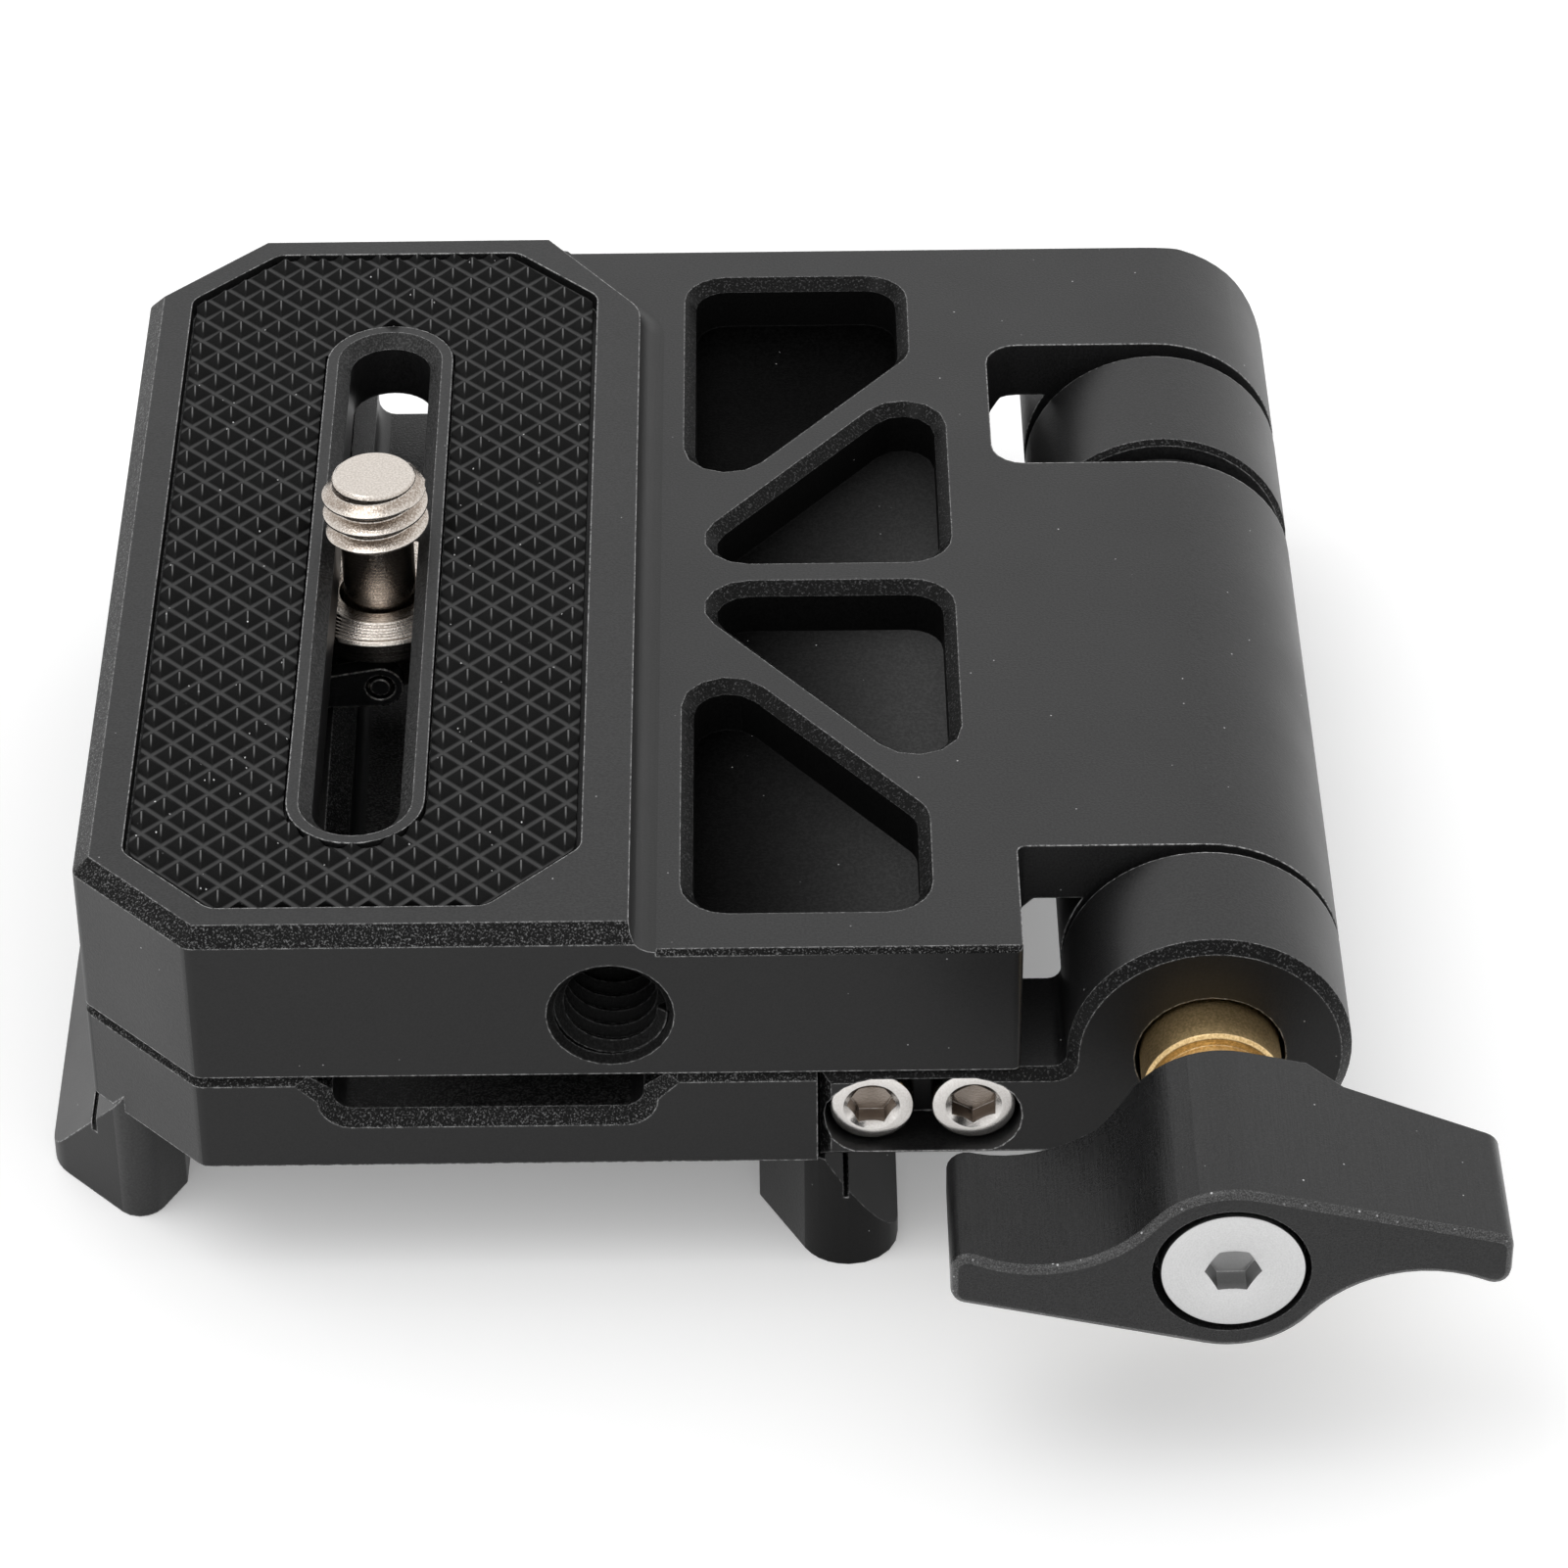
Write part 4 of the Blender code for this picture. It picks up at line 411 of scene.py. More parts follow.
def makeRubber(name, ridgeHighlight):
    # the second argument sets a painted highlight on the upper end of a pyramid's front and back ridges
    look = {**plainLook, **dict(
        dark=(0.0015, 0.0015, 0.0015), light=(0.0045, 0.0045, 0.0045), valley=(0.062, 0.062, 0.062),
        ridge=(0.14, 0.14, 0.14), specular=0.15, grain=0.09, valleyShare=0.85, valleyStart=0.262,
        valleyEnd=0.295, tipHighlightStart=0.05, tipHighlightEnd=0.2, edge=0.09, rub=0.9, smooth=0.5, rough=0.62,
        bump=0.008, dust=0.5, dustCell=0.8, dustSize=0.07, dustShade=(0.85, 0.85, 0.85))}
    material, tree = newMaterial(name)
    where = place(tree, "ShaderNodeTexCoord").outputs["Object"]
    fine = useGroup(tree, fineGrain, {"Vector": where, "Size": look["grain"] * mm})
    colour = blendShades(tree, fine["Grain"], rgba(look["dark"]), rgba(look["light"]))
    height = splitVector(tree, where)["Z"]
    # painted light in the flat valleys between the pyramids
    valley = spread(tree, height, platformTop - look["valleyStart"] * mm,
                    platformTop - look["valleyEnd"] * mm)
    colour = blendShades(tree, multiply(tree, valley, look["valleyShare"]), colour, rgba(look["valley"]))
    # a painted highlight near the tips, in the ridge colour
    tipHighlight = spread(tree, height, platformTop - look["tipHighlightStart"] * mm, platformTop + look["tipHighlightEnd"] * mm,
                     0.0, ridgeHighlight)
    colour = addDust(tree, look, where, blendShades(tree, tipHighlight, colour, rgba(look["ridge"])))
    roughness = spread(tree, fine["Drift"], look["driftLow"], look["driftHigh"], look["smooth"],
                       look["rough"])
    rub = useGroup(tree, edgeWearAndHighlight, {"Vector": where, "Radius": look["edge"] * mm, "Amount": look["rub"]})
    linkSurface(tree, look, colour, roughness, fine["Grain"], rub["Normal"])
    return material


materials["rubber"] = makeRubber("mouldedRubber", 0.0)
materials["rubberRidgeHighlight"] = makeRubber("rubberRidgeHighlight", 1.0)
print("finishes ready")

weldGap = 0.002 * mm
tinyGap = 0.001 * mm


def linkObject(name, data):
    item = bpy.data.objects.new(name, data)
    bpy.context.scene.collection.objects.link(item)
    return item


def plainMesh(name, work):
    mesh = bpy.data.meshes.new(name)
    work.to_mesh(mesh)
    work.free()
    return mesh


def smoothMesh(mesh, angle):
    mesh.shade_smooth()
    mesh.set_sharp_from_angle(angle=radians(angle))


def toMesh(name, work, angle=30.0):
    bmesh.ops.recalc_face_normals(work, faces=work.faces)
    mesh = plainMesh(name, work)
    if "custom_normal" in mesh.attributes:
        mesh.attributes.remove(mesh.attributes["custom_normal"])
    smoothMesh(mesh, angle)
    return mesh


def camelName(node):
    first, *others = node.split("_")
    return first + "".join(word.title() for word in others)


def addPiece(name, mesh, body, slotName, nodes, *looks):
    piece = linkObject(name, mesh)
    for look in looks:
        mesh.materials.append(materials[look])
    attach(piece, body)
    if nodes:
        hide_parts(*nodes)
    return piece


def dress(node, body, slotName, looks, sorter=None, angle=28.0, shape=None):
    # a merged, smooth copy of a CAD node, with a finish for each kind of face
    work = bmesh.new()
    work.from_mesh(frame["nodes"][node].data)
    bmesh.ops.remove_doubles(work, verts=work.verts, dist=weldGap)
    bmesh.ops.dissolve_degenerate(work, edges=work.edges, dist=tinyGap)
    if shape:
        shape(work)
    work.normal_update()
    for face in work.faces:
        kind = sorter(face.normal, face.calc_center_median()) if sorter else looks[0]
        face.material_index = looks.index(kind)
    name = camelName(node)
    piece = addPiece(name, toMesh(name, work, angle), body, slotName, (node,), *looks)
    piece.modifiers.new("evenNormals", "WEIGHTED_NORMAL").keep_sharp = True


def carve(mesh, tool, operation="DIFFERENCE"):
    # one exact Boolean on plain meshes
    first = linkObject("carveBody", mesh)
    second = linkObject("carveTool", tool)
    modifier = first.modifiers.new("carve", "BOOLEAN")
    modifier.operation = operation
    modifier.solver = "EXACT"
    modifier.object = second
    bpy.context.view_layer.update()
    made = bpy.data.meshes.new_from_object(first.evaluated_get(bpy.context.evaluated_depsgraph_get()))
    bpy.data.objects.remove(first)
    bpy.data.objects.remove(second)
    return made


def bevelEdges(work, edges, offset, segments):
    bmesh.ops.bevel(work, geom=edges, offset=offset, offset_type="OFFSET", affect="EDGES",
                    segments=segments, profile=0.5, material=-1)


def isUpright(edge, leastHeight):
    return abs(edge.verts[0].co.z - edge.verts[1].co.z) > leastHeight


def roundedBar(name, low, high, radius, segments, chamfer=0.0):
    # an upright bar with its corners cut off, then rounded
    halfBend = radians(22.5)
    work = bmesh.new()
    size = Vector(high) - Vector(low)
    bmesh.ops.create_cube(work, size=1.0)
    bmesh.ops.scale(work, vec=size, verts=work.verts)
    bmesh.ops.translate(work, vec=Vector(low) + size / 2, verts=work.verts)

    def uprights():
        return [edge for edge in work.edges if isUpright(edge, size.z / 2)]

    if chamfer:
        bevelEdges(work, uprights(), chamfer, 1)
        radius = radius * tan(halfBend)
    bevelEdges(work, uprights(), radius, segments)
    bmesh.ops.recalc_face_normals(work, faces=work.faces)
    return plainMesh(name, work)


def spinProfile(points, steps=96):
    # (radius, height) pairs spun round Z and merged into one closed turned form
    work = bmesh.new()
    verts = [work.verts.new((radius, 0.0, height)) for radius, height in points]
    edges = [work.edges.new(pair) for pair in zip(verts, verts[1:])]
    bmesh.ops.spin(work, geom=verts + edges, cent=(0, 0, 0), axis=(0, 0, 1), dvec=(0, 0, 0),
                   angle=2 * pi, steps=steps, use_merge=True, use_duplicate=False)
    bmesh.ops.remove_doubles(work, verts=work.verts, dist=tinyGap)
    bmesh.ops.recalc_face_normals(work, faces=work.faces)
    return work


def helix(rootRadius, crestRadius, pitch, turns, low, crestShare, rootShare, steps):
    # one V-shaped ridge wound round Z
    work = bmesh.new()
    half = pitch * rootShare / 2
    flat = pitch * crestShare / 2
    corners = ((rootRadius, -half), (crestRadius, -flat), (crestRadius, flat), (rootRadius, half))
    verts = [work.verts.new((radius, 0.0, low + height)) for radius, height in corners]
    edges = [work.edges.new(pair) for pair in zip(verts, verts[1:] + verts[:1])]
    bmesh.ops.spin(work, geom=verts + edges, cent=(0, 0, 0), axis=(0, 0, 1), dvec=(0, 0, pitch / steps),
                   angle=2 * pi * turns, steps=int(steps * turns), use_merge=False, use_duplicate=False)
    bmesh.ops.holes_fill(work, edges=[edge for edge in work.edges if edge.is_boundary], sides=0)
    return work


def turnWork(work, degrees, axis):
    bmesh.ops.rotate(work, cent=(0, 0, 0), matrix=Matrix.Rotation(radians(degrees), 3, axis),
                     verts=work.verts)


def frontEdges(work, left, right, low, high):
    # sharp edges in the plane of the front face, between the given limits in mm
    limit = dict(reach=0.03, sharp=40.0)

    def fits(point):
        return (abs(point.y - frontY) < limit["reach"] * mm and left * mm < point.x < right * mm
                and low * mm < point.z < high * mm)

    return [edge for edge in work.edges if all(fits(vert.co) for vert in edge.verts)
            and edge.calc_face_angle(0.0) > radians(limit["sharp"])]


def joinFlats(work):
    bmesh.ops.dissolve_limit(work, angle_limit=radians(0.5), verts=work.verts, edges=work.edges)


def roundUpperCorner(work):
    # the front face's right upright edge is rounded
    corner = dict(place=15.35, reach=0.06, low=14.0, high=24.0, leastHeight=2.0, radius=0.5, segments=5)
    joinFlats(work)
    edges = frontEdges(work, corner["place"] - corner["reach"], corner["place"] + corner["reach"],
                       corner["low"], corner["high"])
    edges = [edge for edge in edges if isUpright(edge, corner["leastHeight"] * mm)]
    bevelEdges(work, edges, corner["radius"] * mm, corner["segments"])


def chamferChannel(work):
    # the channel's front mouth is chamfered along its floor and walls, not along its roof
    mouth = dict(left=-24.5, right=-4.9, low=11.4, high=13.95, chamfer=0.8, wallShift=0.65, depth=1.0,
                 base=10.7, leftWall=(-25.6, -22.9), rightWall=(-6.5, -3.8), floorTop=11.95, roof=13.9,
                 roofReach=0.02)
    joinFlats(work)
    for vert in work.verts:  # the front ends of the walls and floor move in, so the outline stays put
        x, y, z = vert.co / mm
        if y > frontY / mm + mouth["depth"] or z < mouth["base"]:
            continue
        if mouth["leftWall"][0] < x < mouth["leftWall"][1]:
            vert.co.x += mouth["wallShift"] * mm
        elif mouth["rightWall"][0] < x < mouth["rightWall"][1]:
            vert.co.x -= mouth["wallShift"] * mm
        if z < mouth["floorTop"] and mouth["leftWall"][0] < x < mouth["rightWall"][1]:
            vert.co.z += mouth["chamfer"] * mm
    edges = frontEdges(work, mouth["left"], mouth["right"], mouth["low"], mouth["high"])
    edges = [edge for edge in edges if any(
        abs(vert.co.z - mouth["roof"] * mm) > mouth["roofReach"] * mm for vert in edge.verts)]
    bevelEdges(work, edges, mouth["chamfer"] * mm, 1)


def upperFace(normal, centre):
    # the finish of a face by the way it faces and by its place, in mm from the hinge and the low level;
    # upright outer faces, recess walls and floors and the threaded hole take darker, painted-shade copies
    zone = dict(upright=0.1, level=0.999, slope=(0.6, 0.8), skin=0.1, holeX=-33.6, holeZ=-4.5, holeRadius=3.4,
                holeDepth=(0.2, 14.0), mouthHalf=3.7, mouthDepth=0.5, mouthTurn=(-0.95, -0.5), slotHalf=3.6,
                slotEnds=(8.0, 61.5), slotDepth=0.9, slotTurn=(0.3, 0.95), rimDepth=1.0, rimTurn=0.3,
                stepGap=0.02, stepTurn=0.1, shadedPocket=(-30.2, -12.8), pocketEnd=3.0, pocketHeight=(-3.4, -0.4),
                pocketFloor=-3.2, wallTurn=0.3, floorTurn=0.9, endHeight=0.4, endDepth=0.5,
                endTurn=(0.5, 0.85))
    x, z = (centre.x - hingeAxis.x) / mm, (centre.z - lowTop) / mm
    fromFront, fromBack = (centre.y - frontY) / mm, (plateHigh.y - centre.y) / mm
    fromEnd = min(fromFront, fromBack)
    fromTop = (platformTop - centre.z) / mm
    up = normal.z
    inHole = sqrt((x - zone["holeX"]) ** 2 + (z - zone["holeZ"]) ** 2) < zone["holeRadius"]
    if inHole and zone["holeDepth"][0] < fromFront < zone["holeDepth"][1] and abs(up) < zone["level"]:
        return "thread"
    if abs(up) < zone["upright"] and (fromEnd < zone["skin"] or centre.x < plateLow.x + zone["skin"] * mm):
        return "side"
    inSlot = abs(centre.x - screwAxis.x) < zone["slotHalf"] * mm \
        and zone["slotEnds"][0] < fromFront < zone["slotEnds"][1]
    if inSlot and fromTop < zone["slotDepth"] and zone["slotTurn"][0] < up < zone["slotTurn"][1]:
        return "slotEdge"
    sloping = zone["slope"][0] < up < zone["slope"][1]
    if sloping and normal.x < zone["rimTurn"] and fromTop < zone["rimDepth"]:
        return "chamfer"
    if z > zone["stepGap"] and fromTop > zone["stepGap"] and normal.x > zone["stepTurn"]:
        return "step"
    inPocket = zone["shadedPocket"][0] < x < zone["shadedPocket"][1] and fromEnd > zone["pocketEnd"]
    if inPocket and zone["pocketHeight"][0] < z < zone["pocketHeight"][1] \
            and (up < zone["wallTurn"] or z < zone["pocketFloor"]):
        return "pocketFloor" if up > zone["floorTurn"] else "shadedPocket"
    if sloping and inPocket and z < 0:
        return "pocketEdge"
    if zone["endTurn"][0] < up < zone["endTurn"][1] and -zone["endHeight"] < z < 0 \
            and fromEnd < zone["endDepth"]:
        return "chamfer"
    if zone["mouthTurn"][0] < normal.y < zone["mouthTurn"][1] and abs(x - zone["holeX"]) < zone["mouthHalf"] \
            and fromFront < zone["mouthDepth"] and z < -zone["mouthDepth"]:
        return "thread"
    return "top"


def lowerFace(normal, centre):
    # the finish of a face by the way it faces and by its place, in mm; upright outer faces and low faces in
    # shadow take darker, painted-shade copies
    zone = dict(upright=0.1, skin=0.1, leftSkin=4.0, channel=(-25.3, -4.1), channelLow=9.9, channelFloor=11.8,
                floorTurn=0.9, mouthDepth=1.0, mouthTurn=(-0.9, -0.3), slope=(0.5, 0.85), rimDrop=10.0,
                rimRight=15.2, knuckleLeft=17.0, knuckleLow=8.0, railTop=7.9, railLeft=-20.0, railTurn=0.3,
                railFront=-0.5)
    x, z = centre.x / mm, centre.z / mm
    fromFront, fromBack = (centre.y - frontY) / mm, (plateHigh.y - centre.y) / mm
    inChannel = zone["channel"][0] < x < zone["channel"][1] and z > zone["channelLow"]
    if inChannel and fromFront < zone["mouthDepth"] \
            and zone["mouthTurn"][0] < normal.y < zone["mouthTurn"][1]:
        return "chamfer"
    if inChannel and normal.z > zone["floorTurn"] and z < zone["channelFloor"]:
        return "floor"
    if zone["slope"][0] < normal.z < zone["slope"][1] and z > lowerHigh.z / mm - zone["rimDrop"] \
            and x < zone["rimRight"]:
        return "chamfer"
    if zone["slope"][0] < abs(normal.y) < zone["slope"][1] and x > zone["knuckleLeft"] \
            and z > zone["knuckleLow"]:
        return "pocketEdge"
    # low faces in shadow take a painted-shade copy
    if z < zone["railTop"] and x > zone["railLeft"] \
            and (normal.x > zone["railTurn"] or normal.y < zone["railFront"]):
        return "rail"
    if abs(normal.z) < zone["upright"] and (
            min(fromFront, fromBack) < zone["skin"] or x < lowerLow.x / mm + zone["leftSkin"]):
        return "side"
    return "top"


def armFace(normal, centre):
    # front faces take the darker, painted-shade copy
    zone = dict(chamfer=(-0.85, -0.5), chamferDepth=0.7, front=-0.9)
    if zone["chamfer"][0] < normal.y < zone["chamfer"][1] and centre.y < frontY + zone["chamferDepth"] * mm:
        return "pocketEdge"
    return "side" if normal.y < zone["front"] else "top"


def knobFace(normal, centre):
    # the front, the scoop and its flank take painted-shade copies; the front fillet a worn copy with a
    # painted highlight
    zone = dict(front=-0.97, edge=-0.1, edgeDepth=0.8, flank=1.8, scoop=3.2, up=0.1)
    if zone["front"] < normal.y < zone["edge"] and centre.y < discFace + zone["edgeDepth"] * mm:
        return "knobEdge"
    if normal.y < zone["front"]:
        return "knobFront"
    fromAxis = (hingeAxis.x - centre.x) / mm
    if fromAxis > zone["flank"] and normal.z > zone["up"]:
        return "shadedKnobScoop" if fromAxis > zone["scoop"] else "knobFlank"
    return "knob"


plateLooks = ("top", "chamfer", "pocketEdge", "slotEdge", "shadedPocket", "side", "thread", "floor", "step",
              "pocketFloor", "rail")
knobLooks = ("knob", "knobEdge", "knobFront", "shadedKnobScoop", "knobFlank")
dress("upper_plate", "upper", "anodised", plateLooks, upperFace, shape=roundUpperCorner)
dress("lower_plate", "base", "anodised", plateLooks, lowerFace, shape=chamferChannel)
dress("hinge_arm", "base", "anodised", plateLooks, armFace)
dress("clamp_knob", "knob", "anodised", knobLooks, knobFace, angle=50.0)
print("plates dressed")


def buildGripPad():
    pad = dict(pitch=2.4, spare=3, valleyWidth=0.11, footWidth=0.14, footRise=0.04, ridgeWidth=0.055,
               tipRise=0.5, valleyDrop=0.3, thickness=0.6, skirt=2.0, corner=5.1, cornerRadius=1.2,
               cornerSegments=4, slotHalf=4.1, slotFront=8.0, slotBack=61.2, slotRound=0.998, slotSegments=16,
               outlineRise=2.0, holeRise=3.0, holeDrop=1.0, angle=12.0, ridgeTilt=0.1, ridgeTurn=(0.5, 0.97))
    low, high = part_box("grip_pad")
    middle = (low + high) / 2
    cell = pad["pitch"] / sqrt(2) * mm
    count = 2 * int((high.y - low.y) / cell / 2 + pad["spare"])
    work = bmesh.new()
    bmesh.ops.create_grid(work, x_segments=count, y_segments=count, size=cell * count / 2)
    turnWork(work, 45, "Z")
    valleyHeight = platformTop - pad["valleyDrop"] * mm
    bmesh.ops.translate(work, vec=(middle.x, middle.y, valleyHeight), verts=work.verts)
    centres = [(face, face.calc_center_median() - middle) for face in work.faces]
    far = [face for face, offset in centres if abs(offset.x) > (high.x - low.x) / 2 + cell
           or abs(offset.y) > (high.y - low.y) / 2 + cell]
    bmesh.ops.delete(work, geom=far, context="FACES")
    tops = list(work.faces)
    bmesh.ops.inset_individual(work, faces=tops, thickness=pad["valleyWidth"] / 2 * mm, depth=0.0,
                               use_even_offset=True)
    bmesh.ops.inset_individual(work, faces=tops, thickness=pad["footWidth"] * mm,
                               depth=pad["footRise"] * mm, use_even_offset=True)
    rise = (pad["valleyDrop"] + pad["tipRise"] - pad["footRise"]) * mm
    poked = bmesh.ops.poke(work, faces=tops, offset=0.0, center_mode="MEAN")
    bmesh.ops.translate(work, vec=(0, 0, rise), verts=poked["verts"])
    ridges = [edge for tip in poked["verts"] for edge in tip.link_edges]
    bevelEdges(work, ridges, pad["ridgeWidth"] * mm, 1)
    rim = [edge for edge in work.edges if edge.is_boundary]
    skirt = bmesh.ops.extrude_edge_only(work, edges=rim)
    lowered = [vert for vert in skirt["geom"] if isinstance(vert, bmesh.types.BMVert)]
    bmesh.ops.translate(work, vec=(0, 0, -pad["skirt"] * mm), verts=lowered)
    bmesh.ops.holes_fill(work, edges=[edge for edge in work.edges if edge.is_boundary], sides=0)
    base = platformTop - (pad["valleyDrop"] + pad["thickness"]) * mm
    outline = roundedBar("padOutline", (low.x, low.y, base),
                         (high.x, high.y, platformTop + pad["outlineRise"] * mm),
                         pad["cornerRadius"] * mm, pad["cornerSegments"], pad["corner"] * mm)
    half = pad["slotHalf"] * mm
    hole = roundedBar("padHole",
                      (screwAxis.x - half, frontY + pad["slotFront"] * mm, base - pad["holeDrop"] * mm),
                      (screwAxis.x + half, frontY + pad["slotBack"] * mm, platformTop + pad["holeRise"] * mm),
                      half * pad["slotRound"], pad["slotSegments"])
    mesh = carve(carve(toMesh("gripPad", work, pad["angle"]), outline, "INTERSECT"), hole)
    mesh.name = "gripPad"
    smoothMesh(mesh, pad["angle"])
    addPiece("gripPad", mesh, "upper", "rubber", ("grip_pad",), "rubber", "rubberRidgeHighlight")
    # ridge faces take the rubber with the painted highlight
    for face in mesh.polygons:
        if abs(face.normal.x) < pad["ridgeTilt"] \
                and pad["ridgeTurn"][0] < face.normal.z < pad["ridgeTurn"][1]:
            face.material_index = 1


buildGripPad()
print("pad ready")


def buildCameraScrew():
    screw = dict(pitch=1.27, coreRadius=2.5, outerRadius=3.175, topRadius=2.34, neckRadius=2.2,
                 topCut=0.04, threadLength=4.3, threadFoot=0.3, neckFoot=0.3, ridgeSink=0.1,
                 crestShare=0.10, rootShare=0.96, steps=64, overrun=0.25, nick=0.22, nickSize=0.4,
                 footSlope=1.2, hide=0.2, topGap=0.03, footGap=0.1, flangeRadius=4.8,
                 flangeThickness=0.8, flangeGap=0.3, flangeCut=0.1, bossRadius=2.9, bossCut=0.3,
                 angle=35.0)
    size = {key: value * mm for key, value in screw.items()}
    low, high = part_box("camera_screw")
    top = high.z
    core, neck, outer = size["coreRadius"], size["neckRadius"], size["outerRadius"]
    topRadius, flange, flangeCut = size["topRadius"], size["flangeRadius"], size["flangeCut"]
    boss, bossCut = size["bossRadius"], size["bossCut"]
    threadLow = top - size["threadLength"]
    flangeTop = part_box("seat_washer")[0].z - size["flangeGap"]
    flangeLow = flangeTop - size["flangeThickness"]
    body = spinProfile([
        (0.0, top), (topRadius - size["topCut"], top), (topRadius, top - size["topCut"]),
        (core, top - size["topCut"] - core + topRadius), (core, threadLow + size["threadFoot"]),
        (neck, threadLow), (neck, flangeTop + size["neckFoot"]), (neck + size["neckFoot"], flangeTop),
        (flange - flangeCut, flangeTop), (flange, flangeTop - flangeCut), (flange, flangeLow),
        (boss, flangeLow), (boss, low.z + bossCut), (boss - bossCut, low.z), (0.0, low.z)])
    turns = (screw["threadLength"] + 2 * screw["overrun"]) / screw["pitch"]
    ridge = helix(core - size["ridgeSink"], outer, size["pitch"], turns, threadLow - size["overrun"],
                  screw["crestShare"], screw["rootShare"], screw["steps"])
    for vert in ridge.verts:  # the ridge runs out under the chamfer above and below, with a few nicks
        reach = sqrt(vert.co.x ** 2 + vert.co.y ** 2)
        height = vert.co.z
        nick = size["nick"] * abs(noise.noise(vert.co / size["nickSize"]))
        limit = min(topRadius + top - height - nick, core + (height - threadLow) * screw["footSlope"], outer)
        if height > top - size["topGap"] or height < threadLow:
            limit = neck - size["hide"]
            vert.co.z = min(max(height, threadLow + size["footGap"]), top - size["hide"])
        if reach > limit:
            vert.co.x *= limit / reach
            vert.co.y *= limit / reach
    ridgeMesh = toMesh("screwRidge", ridge)
    body.from_mesh(ridgeMesh)
    bpy.data.meshes.remove(ridgeMesh)
    bmesh.ops.translate(body, vec=(screwAxis.x, screwAxis.y, 0.0), verts=body.verts)
    addPiece("cameraScrew", toMesh("cameraScrew", body, screw["angle"]), "screw", "plated_steel",
             ("camera_screw",), "nickel")


def buildSeatWasher():
    washer = dict(outer=5.6, bore=2.5, grooves=6, grooveStart=3.5, groovePitch=0.3, grooveWidth=0.2,
                  grooveDepth=0.10, topCut=0.18, underCut=0.1, angle=25.0)
    low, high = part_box("seat_washer")
    outer, bore = washer["outer"] * mm, washer["bore"] * mm
    topCut, underCut = washer["topCut"] * mm, washer["underCut"] * mm
    points = [(bore, low.z), (bore, high.z)]
    for index in range(washer["grooves"]):
        start = washer["grooveStart"] + index * washer["groovePitch"]
        points += [(start * mm, high.z),
                   ((start + washer["grooveWidth"] / 2) * mm, high.z - washer["grooveDepth"] * mm),
                   ((start + washer["grooveWidth"]) * mm, high.z)]
    points += [(outer - topCut, high.z), (outer, high.z - topCut), (outer, low.z + underCut),
               (outer - underCut, low.z), (bore, low.z)]
    work = spinProfile(points)
    bmesh.ops.translate(work, vec=(screwAxis.x, screwAxis.y, 0.0), verts=work.verts)
    addPiece("seatWasher", toMesh("seatWasher", work, washer["angle"]), "slider", "plated_steel",
             ("seat_washer",), "nickel")


buildCameraScrew()
buildSeatWasher()
dress("screw_ring", "ring", "black_steel", ("blackSteel",))
dress("ring_pin", "screw", "black_steel", ("blackSteel",))
print("camera screw ready")


def buildSideThread():
    hole = dict(place=-33.6, drop=4.5, outer=3.2, inner=2.62, pitch=1.27, turns=8.0, start=0.75,
                crestShare=0.14, rootShare=0.86, steps=48)
    work = helix(hole["outer"] * mm, hole["inner"] * mm, hole["pitch"] * mm, hole["turns"],
                 hole["start"] * mm, hole["crestShare"], hole["rootShare"], hole["steps"])
    turnWork(work, -90, "X")
    bmesh.ops.translate(work, vec=(hingeAxis.x + hole["place"] * mm, frontY, lowTop - hole["drop"] * mm),
                        verts=work.verts)
    addPiece("sideThread", toMesh("sideThread", work), "upper", "anodised", (), "thread")


buildSideThread()
print("side thread ready")


def coneTool(name, lowZ, highZ, lowRadius, highRadius, sides, turn=0.0):
    tool = bmesh.new()
    bmesh.ops.create_cone(tool, cap_ends=True, segments=sides, radius1=lowRadius, radius2=highRadius,
                          depth=highZ - lowZ)
    turnWork(tool, turn, "Z")
    bmesh.ops.translate(tool, vec=(0, 0, (lowZ + highZ) / 2), verts=tool.verts)
    bmesh.ops.remove_doubles(tool, verts=tool.verts, dist=tinyGap)
    bmesh.ops.recalc_face_normals(tool, faces=tool.faces)
    return plainMesh(name, tool)


plainScrew = dict(shift=0.0, rimShare=0.3, sinkRise=0.5, keyRise=0.5, inner=0.86, sinkSides=64, drillSides=40,
                  drillPoint=0.45, drillLap=0.05, angle=25.0)


def buildSocketScrew(node, body, slotName, look, values):
    # turned along Z with its face at z = 0, then carved and laid down to face the front
    screw = {**plainScrew, **values}
    low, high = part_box(node)
    middle = (low + high) / 2 + Vector((screw["shift"] * mm, 0.0, 0.0))
    radius = (high.x - low.x) / 2 + screw["grow"] * mm
    length = high.y - low.y
    rim, key = screw["rim"] * mm, screw["keyRadius"] * mm
    head, shank = screw["headLength"] * mm, screw["shankRadius"] * mm
    bend = rim * screw["rimShare"]
    name = camelName(node)
    mesh = plainMesh(name, spinProfile([
        (0.0, 0.0), (radius - rim, 0.0), (radius - bend, -bend), (radius, -rim), (radius, -head),
        (shank, -head), (shank, -length), (0.0, -length)]))
    depth, sink = screw["keyDepth"] * mm, screw["sinkDepth"] * mm
    inner = key * screw["inner"]
    widen = (screw["sinkRadius"] * mm - inner) * (1 + screw["sinkRise"])
    for tool in (
            coneTool("sinkTool", -sink, sink * screw["sinkRise"], inner, inner + widen, screw["sinkSides"]),
            coneTool("keyTool", -depth, screw["keyRise"] * mm, key, key, 6, screw["turn"]),
            coneTool("drillTool", -depth - screw["drillPoint"] * mm, -depth + screw["drillLap"] * mm, 0.0,
                     inner, screw["drillSides"])):
        mesh = carve(mesh, tool)
    work = bmesh.new()
    work.from_mesh(mesh)
    turnWork(work, 90, "X")
    bmesh.ops.translate(work, vec=(middle.x, low.y, middle.z), verts=work.verts)
    addPiece(name, toMesh(name, work, screw["angle"]), body, slotName, (node,), look)


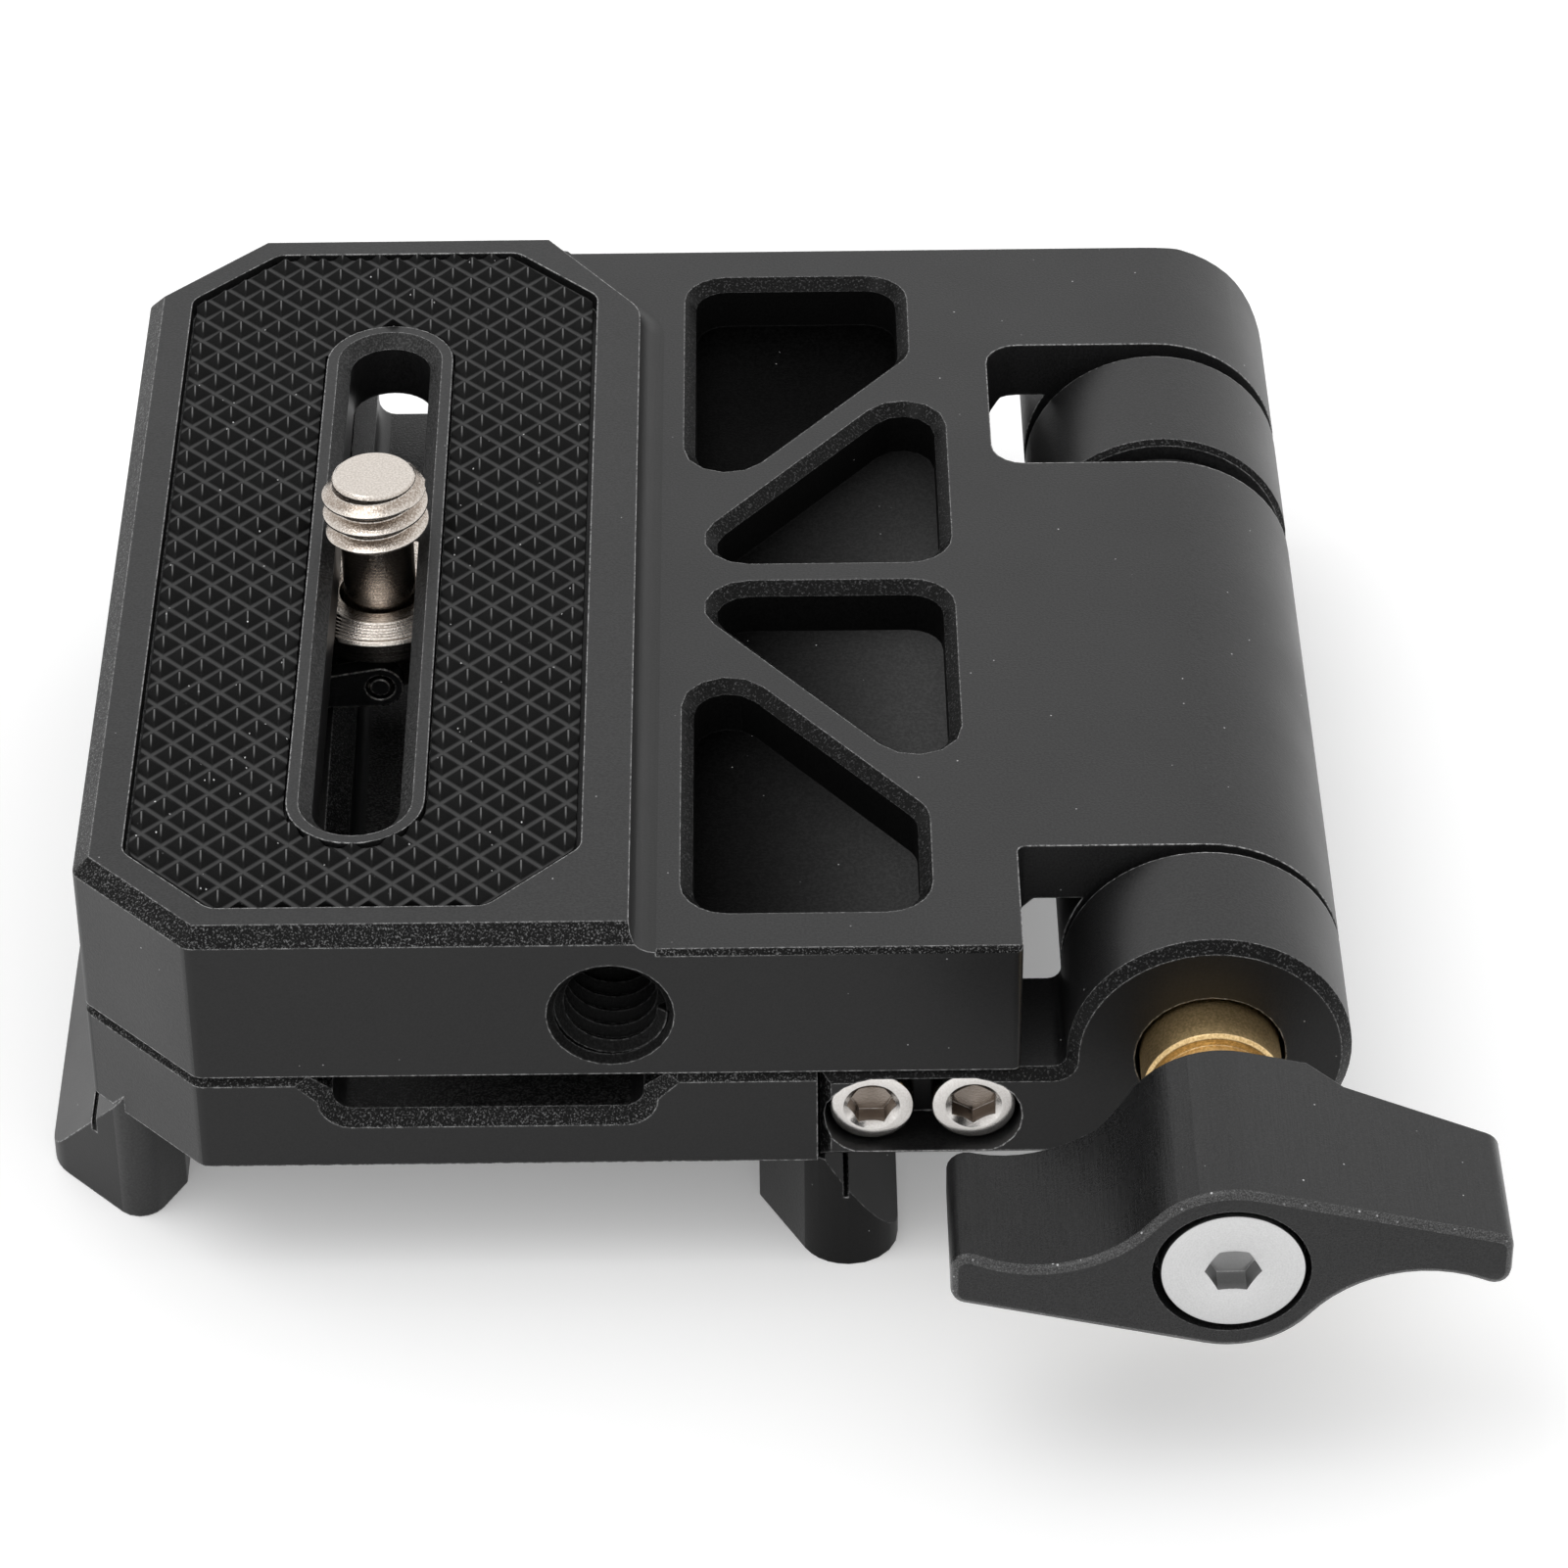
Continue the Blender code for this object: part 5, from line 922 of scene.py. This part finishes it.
armScrew = dict(grow=0.17, rim=0.30, headLength=2.5, shankRadius=1.25, keyRadius=1.42, keyDepth=1.3,
                sinkRadius=1.62, sinkDepth=0.3)
knobScrew = dict(grow=-0.08, shift=0.08, rim=0.16, headLength=2.3, shankRadius=2.0, keyRadius=1.55,
                 keyDepth=1.5, sinkRadius=1.60, sinkDepth=0.12, turn=30.0)
dress("clamp_nut", "knob", "brass", ("brass",))
buildSocketScrew("arm_screw_left", "base", "plated_steel", "chrome", dict(armScrew, turn=30.0))
buildSocketScrew("arm_screw_right", "base", "plated_steel", "chrome", dict(armScrew, turn=0.0))
buildSocketScrew("knob_screw", "knob", "steel", "disc", knobScrew)
for node, body, material in (
        ("front_thrust_washer", "base", "steel"), ("middle_thrust_washer", "base", "nylon"),
        ("rear_thrust_washer", "base", "nylon"), ("front_bush", "upper", "bronze"),
        ("rear_bush", "upper", "bronze"), ("hinge_bolt", "upper", "steel"),
        ("bolt_washer", "upper", "steel")):
    dress(node, body, material, (material,))
print("hinge stack ready")


def seenStraight(tree):
    # 1 for rays from the camera and for what a shiny or clear surface shows
    path = place(tree, "ShaderNodeLightPath").outputs
    mirrored = math(tree, "ADD", path["Is Glossy Ray"], path["Is Transmission Ray"])
    return math(tree, "ADD", path["Is Camera Ray"], mirrored, clamp=True)


def buildFloor():
    floor = dict(size=3.0, drop=0.02, shade=(0.90, 0.90, 0.90), lift=0.22)
    work = bmesh.new()
    bmesh.ops.create_grid(work, x_segments=1, y_segments=1, size=floor["size"])
    plane = linkObject("floor", plainMesh("floor", work))
    plane.location.z = -floor["drop"] * mm
    material, tree = newMaterial("paleFloor")
    tree.nodes.clear()
    matt = place(tree, "ShaderNodeBsdfDiffuse", {"Color": rgba(floor["shade"])})
    glow = place(tree, "ShaderNodeEmission", {
        "Color": (1.0, 1.0, 1.0, 1.0), "Strength": multiply(tree, seenStraight(tree), floor["lift"])})
    both = place(tree, "ShaderNodeAddShader", {0: matt.outputs[0], 1: glow.outputs[0]})
    place(tree, "ShaderNodeOutputMaterial", {"Surface": both.outputs[0]})
    plane.data.materials.append(material)


def buildWorld():
    sky = dict(strength=0.95, seenStrength=1.0)
    world = bpy.data.worlds.new("studio")
    bpy.context.scene.world = world
    world.use_nodes = True
    tree = world.node_tree
    tree.nodes.clear()
    strength = spread(tree, seenStraight(tree), 0.0, 1.0, sky["strength"], sky["seenStrength"])
    back = place(tree, "ShaderNodeBackground", {"Color": (1.0, 1.0, 1.0, 1.0), "Strength": strength})
    place(tree, "ShaderNodeOutputWorld", {"Surface": back.outputs[0]})


def buildLamp():
    key = dict(spot=(-0.25, -0.1, 0.7), aim=(0.0, 0.0, 0.01), size=0.5, power=1.0)
    lamp = bpy.data.lights.new("keyLamp", "AREA")
    lamp.shape = "DISK"
    lamp.size = key["size"]
    lamp.energy = key["power"]
    holder = linkObject("keyLamp", lamp)
    holder.location = key["spot"]
    holder.rotation_euler = (Vector(key["aim"]) - Vector(key["spot"])).to_track_quat("-Z", "Y").to_euler()


def buildCamera():
    view = dict(location=(0.001452, -0.280517, 0.230605), turn=(52.43308, 0.50548, -0.37069),
                lens=135.848, sensor=36.0, near=0.01, shift=(0.0095022, -0.0057826))
    lens = bpy.data.cameras.new("photoCamera")
    lens.lens = view["lens"]
    lens.sensor_width = view["sensor"]
    lens.shift_x, lens.shift_y = view["shift"]
    lens.clip_start = view["near"]
    camera = linkObject("photoCamera", lens)
    camera.location = view["location"]
    camera.rotation_euler = [radians(angle) for angle in view["turn"]]
    bpy.context.scene.camera = camera


buildFloor()
buildWorld()
buildLamp()
buildCamera()
bpy.context.scene.view_settings.view_transform = "Standard"
print("floor, light and camera ready")
